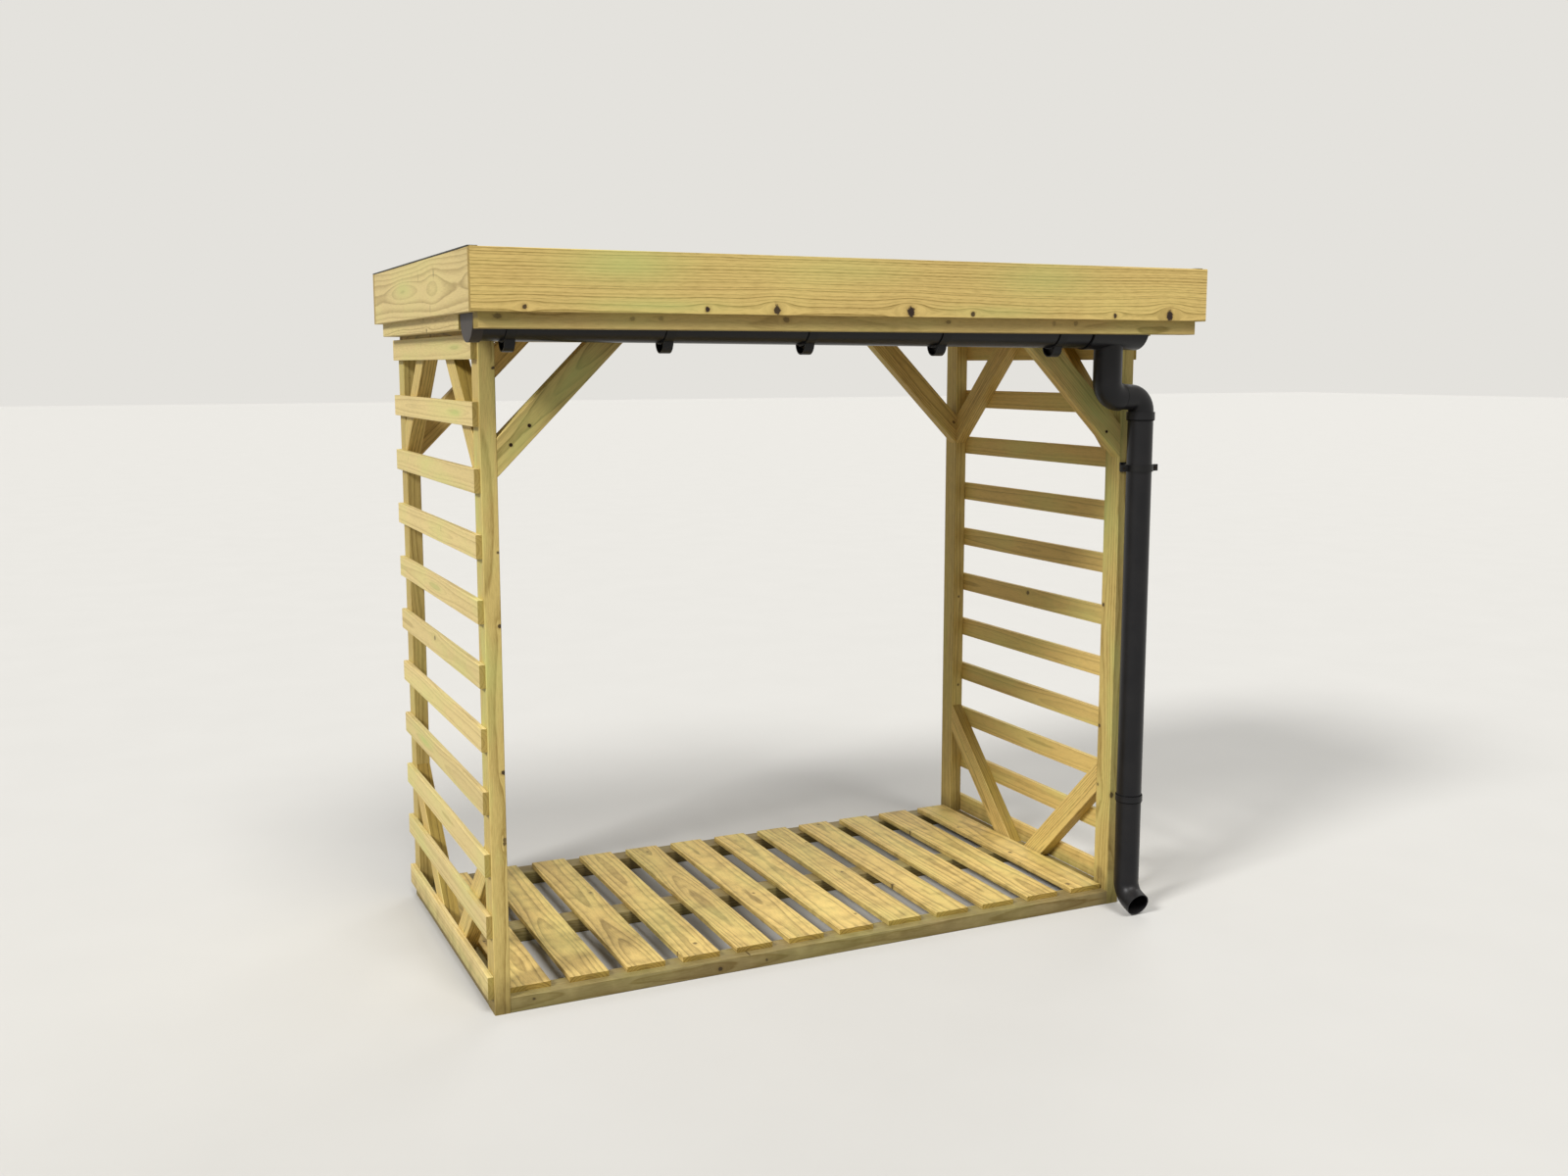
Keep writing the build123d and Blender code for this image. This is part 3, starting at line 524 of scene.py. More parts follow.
def make_ply():
    """Softwood sheathing ply: wide cathedral veneer, brown fibre, and a joint between two sheets."""
    material, tree, shader = new_material("softwood_sheathing_ply", 0.7)
    here = add(tree, "TexCoord").outputs["Object"]
    # The veneer's lines wander over 900 mm along the sheet and 140 mm across it
    flat = add(tree, "Mapping", {"Vector": here, "Scale": (1.1, 7.0, 1.0)}).outputs[0]
    veneer = add(tree, "TexNoise", {"Vector": flat, "Scale": 1.0, "Detail": 2.0}).outputs[0]
    rings = add(tree, "Math", {0: veneer, 1: PLY_RINGS}, operation="MULTIPLY").outputs[0]
    rings = add(tree, "Math", {0: rings}, operation="FRACT").outputs[0]
    rings = add(tree, "Math", {0: rings, 1: 2.2}, operation="POWER").outputs[0]
    # Fibres 1.7 mm across and 50 mm long, drawn coarser than the real ones so that they show
    fine = add(tree, "Mapping", {"Vector": here, "Scale": (20.0, 600.0, 600.0)}).outputs[0]
    fine = add(tree, "TexNoise", {"Vector": fine, "Scale": 1.0, "Detail": 2.0}).outputs[0]
    base = add(tree, "Mix", {0: rings, 6: linear(PLY_SPRING), 7: linear(PLY_SUMMER)}, **MIX).outputs[2]
    fine_share = add(tree, "MapRange", {0: fine, 1: 0.4, 2: 0.8, 3: 0.0, 4: 0.35}).outputs[0]
    base = add(tree, "Mix", {0: fine_share, 6: base, 7: linear(PLY_FIBRE)}, **MIX).outputs[2]
    side = add(tree, "SeparateXYZ", {0: here}).outputs["X"]
    joint = add(tree, "Math", {0: side, 1: SHEET_JOINT}, operation="SUBTRACT").outputs[0]
    joint = add(tree, "Math", {0: joint}, operation="ABSOLUTE").outputs[0]
    joint = add(tree, "Math", {0: joint, 1: SHEET_GAP}, operation="LESS_THAN").outputs[0]
    base = add(tree, "Mix", {0: joint, 6: base, 7: linear(PLY_GAP)}, **MIX).outputs[2]
    tree.links.new(base, shader.inputs["Base Color"])
    bump = add(tree, "Bump", {"Strength": 0.3, "Distance": 0.3 * MM, "Height": fine})
    tree.links.new(bump.outputs[0], shader.inputs["Normal"])
    return material


def metal(name, colour, rough):
    """Plated or coated steel: its colour shows as metal, dulled by weather in spots 1 mm across."""
    material, tree, shader = new_material(name, rough)
    shader.inputs["Metallic"].default_value = 1.0
    here = add(tree, "TexCoord").outputs["Object"]
    spots = add(tree, "TexNoise", {"Vector": here, "Scale": 900.0, "Detail": 3.0}).outputs[0]
    spots = add(tree, "MapRange", {0: spots, 1: 0.45, 2: 0.7, 3: 0.0, 4: 0.6}).outputs[0]
    base = add(tree, "Mix", {0: spots, 6: linear(colour), 7: linear(WEATHER_SPOT)}, **MIX).outputs[2]
    tree.links.new(base, shader.inputs["Base Color"])
    dull = add(tree, "MapRange", {0: spots, 1: 0.0, 2: 0.6, 3: rough, 4: 0.7}).outputs[0]
    tree.links.new(dull, shader.inputs["Roughness"])
    return material


def rubber(name, colour):
    """Moulded seal rubber: near black, matt, with a bloom of dust in patches of 17 mm."""
    material, tree, shader = new_material(name, 0.8, RUBBER_SHINE)
    here = add(tree, "TexCoord").outputs["Object"]
    bloom = add(tree, "TexNoise", {"Vector": here, "Scale": 60.0, "Detail": 3.0}).outputs[0]
    bloom = add(tree, "MapRange", {0: bloom, 1: 0.4, 2: 0.8, 3: 0.0, 4: 0.4}).outputs[0]
    base = add(tree, "Mix", {0: bloom, 6: linear(colour), 7: linear(SEAL_DUST)}, **MIX).outputs[2]
    tree.links.new(base, shader.inputs["Base Color"])
    bump = add(tree, "Bump", {"Strength": 0.1, "Distance": 0.1 * MM, "Height": bloom})
    tree.links.new(bump.outputs[0], shader.inputs["Normal"])
    return material


def finish_piece(name, shape, material):
    """Turn a bmesh into a piece of the store that rides on its one body."""
    bmesh.ops.remove_doubles(shape, verts=shape.verts, dist=0.01 * MM)
    bmesh.ops.recalc_face_normals(shape, faces=shape.faces)
    mesh = bpy.data.meshes.new(name)
    shape.to_mesh(mesh)
    shape.free()
    mesh.materials.append(material)
    piece = bpy.data.objects.new(name, mesh)
    bpy.context.scene.collection.objects.link(piece)
    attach(piece, "root")


def repeat(shape, template, places):
    """Add a copy of a template, which points along +Z, at each (place, direction)."""
    for place, way in places:
        before = len(shape.verts)
        shape.from_mesh(template)
        shape.verts.ensure_lookup_table()
        turn = Z_AXIS.rotation_difference(way).to_matrix().to_4x4()
        bmesh.ops.transform(shape, matrix=Matrix.Translation(place) @ turn, verts=shape.verts[before:])


RECESS_FLOOR = 0.1 * MM  # how far the bottom of a screw's recess is above the surface
STAR_CORNERS = 12  # six points and the six hollows between them
STAR_HOLLOW = 0.72  # a hollow's reach as a share of a point's
SHANK_DEEP = 0.6  # depth of the countersunk part as a share of the head's radius
SHANK_SHARE = 0.55  # and its radius at that depth


def screw_head(radius, recess, rise):
    """A countersunk screw's head with a star recess, so far above the surface that its recess shows."""
    shape = bmesh.new()
    outer = bmesh.ops.create_circle(shape, segments=STAR_CORNERS, radius=radius)["verts"]
    inner = bmesh.ops.create_circle(shape, segments=STAR_CORNERS, radius=recess)["verts"]
    bmesh.ops.scale(shape, vec=(STAR_HOLLOW, STAR_HOLLOW, 1), verts=inner[::2])
    bmesh.ops.translate(shape, vec=(0, 0, rise), verts=outer + inner)
    bmesh.ops.bridge_loops(shape, edges=shape.edges)
    outer_edges = [e for e in shape.edges if e.verts[0] in outer and e.verts[1] in outer]
    inner_edges = [e for e in shape.edges if e.verts[0] in inner and e.verts[1] in inner]
    made = bmesh.ops.extrude_edge_only(shape, edges=inner_edges)["geom"]
    floor = [v for v in made if isinstance(v, bmesh.types.BMVert)]
    bmesh.ops.translate(shape, vec=(0, 0, RECESS_FLOOR - rise), verts=floor)
    bmesh.ops.contextual_create(shape, geom=[e for e in made if isinstance(e, bmesh.types.BMEdge)])
    made = bmesh.ops.extrude_edge_only(shape, edges=outer_edges)["geom"]
    foot = [v for v in made if isinstance(v, bmesh.types.BMVert)]
    bmesh.ops.translate(shape, vec=(0, 0, -rise - SHANK_DEEP * radius), verts=foot)
    bmesh.ops.scale(shape, vec=(SHANK_SHARE, SHANK_SHARE, 1), verts=foot)
    bmesh.ops.contextual_create(shape, geom=[e for e in made if isinstance(e, bmesh.types.BMEdge)])
    bmesh.ops.recalc_face_normals(shape, faces=shape.faces)
    mesh = bpy.data.meshes.new("screw_head_template")
    shape.to_mesh(mesh)
    shape.free()
    return mesh


DOME = ((0, 1), (0.55, 0.8), (0.9, 0.3), (1, 0), (1, -1), (0, -1))  # shares of the radius and the rise


def domed_head(radius, rise):
    """A nail's head: a low dome turned about its axis."""
    shape = bmesh.new()
    rim = [shape.verts.new((x * radius, 0, z * rise)) for x, z in DOME]
    edges = [shape.edges.new(pair) for pair in zip(rim, rim[1:])]
    bmesh.ops.spin(shape, geom=rim + edges, axis=Z_AXIS, cent=(0, 0, 0), angle=math.tau, steps=10,
                   use_merge=True)
    bmesh.ops.remove_doubles(shape, verts=shape.verts, dist=0.001 * MM)
    bmesh.ops.recalc_face_normals(shape, faces=shape.faces)
    mesh = bpy.data.meshes.new("domed_head_template")
    shape.to_mesh(mesh)
    shape.free()
    return mesh


def seal_ring(shape, place, way, inner, outer, width):
    """Add a rubber ring with a bevelled outer edge about an axis, its back at the place."""
    ring = bmesh.new()
    ease = 0.3 * width
    profile = ((inner, 0), (outer, 0), (outer, width - ease), (outer - ease, width), (inner, width))
    loop = [ring.verts.new((x, 0, z)) for x, z in profile]
    edges = [ring.edges.new((loop[i], loop[i - 1])) for i in range(len(loop))]
    bmesh.ops.spin(ring, geom=loop + edges, axis=Z_AXIS, cent=(0, 0, 0), angle=math.tau, steps=48,
                   use_merge=True)
    bmesh.ops.remove_doubles(ring, verts=ring.verts, dist=0.001 * MM)
    mesh = bpy.data.meshes.new("seal_ring_template")
    ring.to_mesh(mesh)
    ring.free()
    repeat(shape, mesh, [(place, way)])
    bpy.data.meshes.remove(mesh)


# Ways along and across the knee braces: at the front and back, and in the side frames, which are folded
UP_RIGHT = Vector((1, 0, 1))
UP_LEFT = Vector((-1, 0, 1))
FOLDED_ALONG = Vector((0, -1, 1))
FOLDED_ACROSS = Vector((0, 1, 1))

# Knots seen on the pieces: along, across, through, radius, stretch and darkness
POST_FACE = -POST_WIDE / 2
FASCIA_FACE = FASCIA_THICK / 2
RIM_FACE = RIM_THICK / 2
POST_LEFT_KNOTS = (
    (0.724, 0.015, POST_FACE, 4.5 * MM, 0.8, 0.9),
    (0.307, 0.016, POST_FACE, 4 * MM, 0.8, 0.8),
    (0.137, 0.016, POST_FACE, 6.5 * MM, 0.8, 0.9),
    (-0.208, 0.016, POST_FACE, 6.5 * MM, 0.9, 0.95),
    (-0.378, 0.014, POST_FACE, 5 * MM, 1.0, 0.7),
)
POST_RIGHT_KNOTS_AND_SHADOW = (
    (0.061, -0.019, 0.022, 6 * MM, 1.0, 0.85),
    (-0.287, -0.019, 0.025, 6 * MM, 1.0, 0.8),
    (-0.458, -0.019, 0.024, 5 * MM, 1.1, 0.6),
    (-0.476, -0.012, POST_FACE, 7 * MM, 1.3, 0.8),
    # Not a knot: a soft dark mark at the post's foot, a painted shadow
    (-0.714, -0.019, 0.006, 16 * MM, 1.3, 0.3),
)
FRONT_RAIL_KNOTS = (
    (-0.327, -0.004, POST_WIDE / 2, 6 * MM, 1.2, 0.8),
    (-0.199, -0.002, POST_WIDE / 2, 4 * MM, 1.0, 0.7),
)
FASCIA_KNOTS = (
    (-0.852, -0.056, FASCIA_FACE, 6 * MM, 0.9, 0.9),
    (-0.436, -0.056, FASCIA_FACE, 7 * MM, 0.95, 1.0),
    (-0.266, -0.055, FASCIA_FACE, 12 * MM, 0.75, 0.95),
    (0.083, -0.055, FASCIA_FACE, 14 * MM, 0.80, 1.0),
    (0.255, -0.057, FASCIA_FACE, 7 * MM, 0.85, 0.9),
    (0.677, -0.057, FASCIA_FACE, 7 * MM, 0.85, 0.95),
    (0.849, -0.054, FASCIA_FACE, 15 * MM, 0.68, 1.0),
)
RIM_KNOTS = (
    (-0.907, -0.022, RIM_FACE, 6 * MM, 1.7, 0.55),
    (-0.606, -0.024, RIM_FACE, 5 * MM, 1.3, 0.35),
    (-0.540, -0.023, RIM_FACE, 5 * MM, 1.2, 0.3),
    (-0.235, -0.022, RIM_FACE, 7 * MM, 1.2, 0.55),
    (0.198, -0.023, RIM_FACE, 5 * MM, 1.8, 0.5),
    (0.504, -0.023, RIM_FACE, 6 * MM, 1.0, 0.35),
    (0.570, -0.022, RIM_FACE, 6 * MM, 1.2, 0.4),
)
# Green patches of the front fascia: along, across, half length, half height and strength
FASCIA_GREENS = (
    (-0.625, 0.038, 0.13, 0.045, 0.55),
    (-0.560, -0.050, 0.16, 0.016, 0.45),
    (-0.080, 0.040, 0.16, 0.035, 0.25),
    (0.455, 0.030, 0.15, 0.045, 0.45),
    (0.330, -0.052, 0.14, 0.016, 0.35),
)

# Marks of the left fascia, at their depth in the store instead of along the board
SIDE_CHECKS = (
    (-0.210, 0.031, -FASCIA_FACE, 11 * MM, 0.24, 0.8),
    (-0.165, -0.049, -FASCIA_FACE, 9 * MM, 0.22, 0.5),
    (-0.038, 0.029, -FASCIA_FACE, 9 * MM, 0.22, 0.5),
)
SIDE_SWIRLS = (
    (0.156, 0.006, 0.17, 0.023, -26 * MM),
    (-0.200, 0.004, 0.07, 0.034, -9 * MM),
    (-0.545, 0.004, 0.05, 0.026, -8 * MM),
)
SIDE_GREENS = ((0.156, 0.006, 0.11, 0.018, 0.4),)

# Marks of the left slats: depth in the store, slats down from the top one, height above its middle, and
# a drying check's radius
SLAT_EYES = ((-0.193, 0, 2 * MM), (-0.175, 1, 0.0), (0.11, 4, 0.0), (0.30, 7, 0.0))
SLAT_CHECKS = ((0.189, 0, 12 * MM, 6 * MM), (0.40, 2, 10 * MM, 5 * MM), (0.02, 3, 6 * MM, 6 * MM))


def along_board(marks, centre):
    """Marks given at their depth in the store, moved to their places along a board about its middle."""
    return [(depth - centre, *mark) for depth, *mark in marks]


def slat_marks(first):
    """The eyes and drying checks of the left slats, from the middle of the lowest one."""
    top = (SLAT_COUNT - 1) * SLAT_PITCH
    eyes = [(depth - first.y, top - down * SLAT_PITCH + lift) for depth, down, lift in SLAT_EYES]
    return {
        "swirls": [(*eye, 110 * MM, 14 * MM, -9 * MM) for eye in eyes],
        "greens": [(*eye, 70 * MM, 9 * MM, 0.55) for eye in eyes],
        "knots": [
            (depth - first.y, top - down * SLAT_PITCH + lift, -SLAT_FACE, radius, 0.22, 0.6)
            for depth, down, lift, radius in SLAT_CHECKS
        ],
    }


# What all the colour properties have
COLOUR = {"subtype": "COLOR", "size": 4, "min": 0.0, "max": 1.0}


class LogStoreFinish(bpy.types.PropertyGroup):
    """Colours and fixings that a user of the log store may change."""

    spring_wood: FloatVectorProperty(
        name="Spring wood", description="Pale wood between the yearly lines",
        default=linear("#DCBE74"), **COLOUR,
    )
    summer_wood: FloatVectorProperty(
        name="Summer wood", description="Darker line that ends each year",
        default=linear("#8E7437"), **COLOUR,
    )
    # The posts' spring wood is greener and darker: partly the posts' own tone, partly painted shade of the
    # roof over them
    post_wood_and_shade: FloatVectorProperty(
        name="Post wood", description="Spring wood of the posts, which are greener and darker",
        default=linear("#CBB36C"), **COLOUR,
    )
    rim_wood: FloatVectorProperty(
        name="Rim wood", description="Spring wood of the front rim behind the gutter",
        default=linear("#CFB470"), **COLOUR,
    )
    weathered_wood: FloatVectorProperty(
        name="Weathered wood", description="Spring wood of the rails at the foot",
        default=linear("#B9A672"), **COLOUR,
    )
    # The boards that face left take a paler, whiter copy of the wood with warmer, softer lines: painted light
    # from the left
    left_lit_wood: FloatVectorProperty(
        name="Sunned wood", description="Spring wood of the boards that face left",
        default=linear("#DFC88A"), **COLOUR,
    )
    left_lit_lines: FloatVectorProperty(
        name="Sunned lines", description="Yearly lines of the boards that face left, lit warm",
        default=linear("#A0864A"), **COLOUR,
    )
    ring_spacing: FloatProperty(
        name="Ring spacing", description="Width of one year's growth", unit="LENGTH",
        min=1 * MM, max=12 * MM, default=6 * MM,
    )
    gutter_grey: FloatVectorProperty(
        name="Gutter grey", description="Colour of the gutter, outlet and pipes",
        default=linear("#101013"), **COLOUR,
    )
    bracket_grey: FloatVectorProperty(
        name="Bracket grey", description="Colour of the gutter brackets and the pipe clip",
        default=linear("#09090A"), **COLOUR,
    )
    # The stop end's grey is paler than the gutter's: painted light, as it faces the light from the left
    lit_stop_end_grey: FloatVectorProperty(
        name="Stop end grey", description="Colour of the lit stop end",
        default=linear("#38322E"), **COLOUR,
    )
    nail_radius: FloatProperty(
        name="Nail head", description="Radius of the heads of the slat and floor nails", unit="LENGTH",
        min=1 * MM, max=5 * MM, default=1.8 * MM,
    )
    screw_radius: FloatProperty(
        name="Screw head", description="Radius of the heads of the brace screws", unit="LENGTH",
        min=2 * MM, max=8 * MM, default=4.4 * MM,
    )


class LogStoreStage(bpy.types.PropertyGroup):
    """The floor's colour and the strengths of the lights."""

    floor_colour: FloatVectorProperty(
        name="Floor", description="Colour of the floor",
        default=linear("#C6C4BF"), **COLOUR,
    )
    key_light: FloatProperty(
        name="Key light", description="Strength of the soft light from the left; pi lights white to white",
        min=0.0, default=2.6,
    )
    fill_light: FloatProperty(
        name="Fill light", description="Strength of the soft light from the front", min=0.0, default=1.85,
    )
    back_light: FloatProperty(
        name="Back light", description="Strength of the soft light from the back", min=0.0, default=0.5,
    )
    room_light: FloatProperty(
        name="Room light", description="Strength of the even light from all round",
        min=0.0, max=2.0, default=0.33,
    )


class LOGSTORE_OT_frame_timber(bpy.types.Operator):
    """Give the posts, beams, rails and knee braces their softwood."""

    bl_idname = "logstore.frame_timber"
    bl_label = "Finish the frame timber"

    def execute(self, context):
        look = context.scene.log_store_finish
        tones = {
            "spring": look.spring_wood[:],
            "summer": look.summer_wood[:],
            "spacing": look.ring_spacing,
        }
        # The posts take the darker post wood, which holds painted shade of the roof
        posts = {
            "spring": look.post_wood_and_shade[:],
            "summer": look.summer_wood[:],
            "spacing": POST_RINGS * look.ring_spacing,
            "line": 0.8,
            "damp": 0.09,
        }
        softwood("post_front_left_pine", "post_front_left", Z_AXIS, X_AXIS, (-0.012, 0.034), seed=1.0,
                 knots=POST_LEFT_KNOTS, green=0.85, **posts)
        softwood("post_front_right_pine", "post_front_right", Z_AXIS, X_AXIS, (0.03, 0.03), seed=2.0,
                 knots=POST_RIGHT_KNOTS_AND_SHADOW, green=0.6, **posts)
        for index, node in enumerate(("post_back_left", "post_back_right")):
            softwood(f"{node}_pine", node, Z_AXIS, X_AXIS, (0.02, -0.05), seed=3.0 + index, **posts)
        for index, node in enumerate(("front_top_beam", "back_top_beam")):
            softwood(f"{node}_pine", node, X_AXIS, Z_AXIS, (0.03, 0.04), seed=5.0 + index, **tones)
        for index, node in enumerate(("left_top_rail", "right_top_rail")):
            softwood(f"{node}_pine", node, Y_AXIS, Z_AXIS, (-0.03, 0.04), seed=7.0 + index, **tones)
        foot = {**tones, "spring": look.weathered_wood[:], "damp": 0.10}
        softwood("front_bottom_rail_pine", "front_bottom_rail", X_AXIS, Z_AXIS, (0.01, 0.06), seed=9.0,
                 knots=FRONT_RAIL_KNOTS, **foot)
        for index, node in enumerate(("back_bottom_rail", "centre_bearer")):
            softwood(f"{node}_pine", node, X_AXIS, Z_AXIS, (0.02, 0.05), seed=10.0 + index, **foot)
        for index, node in enumerate(("left_bottom_rail", "right_bottom_rail")):
            softwood(f"{node}_pine", node, Y_AXIS, Z_AXIS, (0.02, 0.05), seed=12.0 + index, **foot)
        corners = (("front", "left"), ("front", "right"), ("back", "left"), ("back", "right"))
        for index, (end, side) in enumerate(corners):
            along, across = (UP_RIGHT, UP_LEFT) if side == "left" else (UP_LEFT, UP_RIGHT)
            softwood(f"brace_{end}_{side}_pine", f"brace_{end}_{side}", along, across, (0.045, -0.03),
                     seed=14.0 + index, green=0.8 if end == "front" else 0.3, scatter=0.25, **tones)
        for index, side in enumerate(("left", "right")):
            softwood(f"{side}_side_braces_pine", f"{side}_side_braces", FOLDED_ALONG, FOLDED_ACROSS,
                     (0.62, 0.03), seed=18.0 + index, folded=True, scatter=0.2, **tones)
        return {"FINISHED"}


class LOGSTORE_OT_slats_and_floor(bpy.types.Operator):
    """Give the side slats and the floor boards their softwood."""

    bl_idname = "logstore.slats_and_floor"
    bl_label = "Finish the slats and the floor"

    def execute(self, context):
        look = context.scene.log_store_finish
        spacing = SLAT_RINGS * look.ring_spacing
        # The left slats take the paler copy of the wood, which is painted light from the left
        left_lit = {"spacing": spacing, "spring": look.left_lit_wood[:], "summer": look.left_lit_lines[:]}
        shaded = {"spacing": spacing, "spring": look.spring_wood[:], "summer": look.summer_wood[:]}
        for side in ("left", "right"):
            first = middle(f"{side}_slats")
            first.z = SLATS_LOW.z + SLAT_HEIGHT / 2
            seen = {**left_lit, **slat_marks(first)} if side == "left" else shaded
            softwood(f"{side}_slat_pine", f"{side}_slats", Y_AXIS, Z_AXIS, (0.0, -0.028), damp=0.06,
                     pitch=(ONE_ROW, ONE_ROW, SLAT_PITCH), start=first, seed=21.0, scatter=0.14,
                     line=0.55, wave=1.5 * MM, bend=25 * MM, fibre=0.22, green=0.5, **seen)
        first = middle("floor_boards")
        first.x = FLOOR_LOW.x + FLOOR_WIDE / 2
        softwood("floor_board_pine", "floor_boards", Y_AXIS, X_AXIS, (0.0, 0.045), damp=0.02, scatter=0.3,
                 pitch=(FLOOR_PITCH, ONE_ROW, ONE_ROW), start=first, seed=23.0, **shaded)
        return {"FINISHED"}


class LOGSTORE_OT_roof(bpy.types.Operator):
    """Give the rims, fascias, joists, deck and felt their finishes."""

    bl_idname = "logstore.roof"
    bl_label = "Finish the roof"

    def execute(self, context):
        look = context.scene.log_store_finish
        summer = look.summer_wood[:]
        tones = {"spring": look.spring_wood[:], "summer": summer}
        # The left fascia and the left rim take the paler copy of the wood, which is painted light from the
        # left
        left_lit = {"spring": look.left_lit_wood[:], "summer": look.left_lit_lines[:]}
        # Planed boards: even yearly lines that bow round a row of knots along the lower edge
        softwood("fascia_front_pine", "fascia_front", X_AXIS, Z_AXIS, (-0.085, -0.045), 6.5 * MM, seed=31.0,
                 knots=FASCIA_KNOTS, greens=FASCIA_GREENS, green=0.15, scatter=0.0, rough=0.58,
                 bend=16 * MM, wave=2.2 * MM, line=1.0, **tones)
        softwood("fascia_back_pine", "fascia_back", X_AXIS, Z_AXIS, (0.05, 0.06), seed=32.0, rough=0.58,
                 **tones)
        side_middle = middle("fascia_left").y
        softwood("fascia_left_pine", "fascia_left", Y_AXIS, Z_AXIS, (0.0, -0.050), 11 * MM, seed=33.0,
                 knots=along_board(SIDE_CHECKS, side_middle), swirls=along_board(SIDE_SWIRLS, side_middle),
                 greens=along_board(SIDE_GREENS, side_middle), scatter=0.0, rough=0.58, line=0.75,
                 bend=34 * MM, wave=3 * MM, fibre=0.22, **left_lit)
        softwood("fascia_right_pine", "fascia_right", Y_AXIS, Z_AXIS, (0.01, 0.03), seed=34.0, rough=0.58,
                 **tones)
        softwood("front_rim_pine", "front_rim_joist", X_AXIS, Z_AXIS, (-0.03, -0.05), seed=35.0,
                 knots=RIM_KNOTS, green=0.4, scatter=0.0, spring=look.rim_wood[:], summer=summer)
        softwood("left_rim_pine", "left_rim_joist", Y_AXIS, Z_AXIS, (-0.01, 0.05), seed=36.0, **left_lit)
        softwood("right_rim_pine", "right_rim_joist", Y_AXIS, Z_AXIS, (-0.01, 0.05), seed=37.0, **tones)
        first = middle("roof_joists")
        first.x = JOIST_LOW.x + STUD_THICK / 2
        for index, node in enumerate(("roof_joists", "firring_strips")):
            softwood(f"{node}_pine", node, Y_AXIS, Z_AXIS, (0.03, 0.03), seed=38.0 + index,
                     pitch=(JOIST_PITCH, ONE_ROW, ONE_ROW), start=first, **tones)
        give("roof_deck", make_ply())
        give("roof_felt", make_felt())
        return {"FINISHED"}


class LOGSTORE_OT_rainwater(bpy.types.Operator):
    """Give the gutter, brackets and pipes their plastic."""

    bl_idname = "logstore.rainwater"
    bl_label = "Finish the gutter and pipes"

    def execute(self, context):
        look = context.scene.log_store_finish
        grey, dark, pale = look.gutter_grey[:], look.bracket_grey[:], look.lit_stop_end_grey[:]
        finishes = (
            (plastic("extruded_pvc", grey, PIPE_DUST, 0.34, 500.0), ("gutter", "downpipe")),
            (plastic("moulded_pvc", grey, PIPE_DUST, 0.38, 750.0),
             ("gutter_outlet", "upper_bend", "lower_bend", "pipe_coupling", "downpipe_shoe")),
            (plastic("bracket_pvc", dark, BRACKET_DUST, 0.42, 750.0), ("gutter_brackets", "pipe_clip")),
            # The stop end's paler plastic is painted light from the left
            (plastic("lit_stop_end_pvc", pale, STOP_END_DUST, 0.55, 750.0), ("gutter_stop_end",)),
        )
        for finish, nodes in finishes:
            for node in nodes:
                give(node, finish)
        return {"FINISHED"}


# Where the fixings stand
NAIL_LINES = (0.55, 0.5)  # from a front post's front and a back post's back, as shares of its width
EDGE_IN = 13 * MM  # from a slat's edge to its nails
FLOOR_EDGE_IN = 26 * MM  # from a floor board's edge to its nails
OFF_RAIL_MIDDLE = 5 * MM  # how far behind a rail's middle the floor nails stand
FLUSH = 0.3 * MM  # how far a nail's dome rises, and how deep its rim is sunk
SCREW_RECESS = 0.6  # reach of a brace screw's star as a share of its head's radius
SCREW_RISE = 0.8 * MM
FRONT_SCREW_LIFT = 0.1 * MM  # from the posts' front face to a screw's seat
FRONT_SCREWS = ((-0.790, 1.389), (-0.834, 1.346), (0.819, 1.344))  # across and height
BACK_SCREWS = ((-0.790, 1.389), (-0.834, 1.346), (0.790, 1.389), (0.834, 1.346))
CLIP_SCREW_RADIUS = 3 * MM
CLIP_SCREW_RECESS = 1.6 * MM
CLIP_SCREW_RISE = 1.0 * MM
CLIP_EAR_SCREW = 52 * MM  # from the pipe's middle line to the screws of the clip's ears
CLIP_EAR_FACE = 3 * MM  # and how far before it their seats are
CLIP_BASE_SCREW = 11.5 * MM  # to the screws of the clip's base
CLIP_BASE_THICK = 5 * MM
SEAL_WIDE = 3 * MM  # how far a seal stands out of its socket
BEND_SEAL_RADIUS = SOCKET_RADIUS - 0.6 * MM
COUPLING_SEAL_RADIUS = SOCKET_RADIUS - 1.6 * MM
OUTLET_SEAL_INNER = GUTTER_RADIUS + 0.05 * MM
OUTLET_SEAL_OUTER = GUTTER_RADIUS + 3 * MM
OUTLET_SEAL_TOP = GUTTER_STRAIGHT - 0.5 * MM  # how far its ends rise beside the gutter


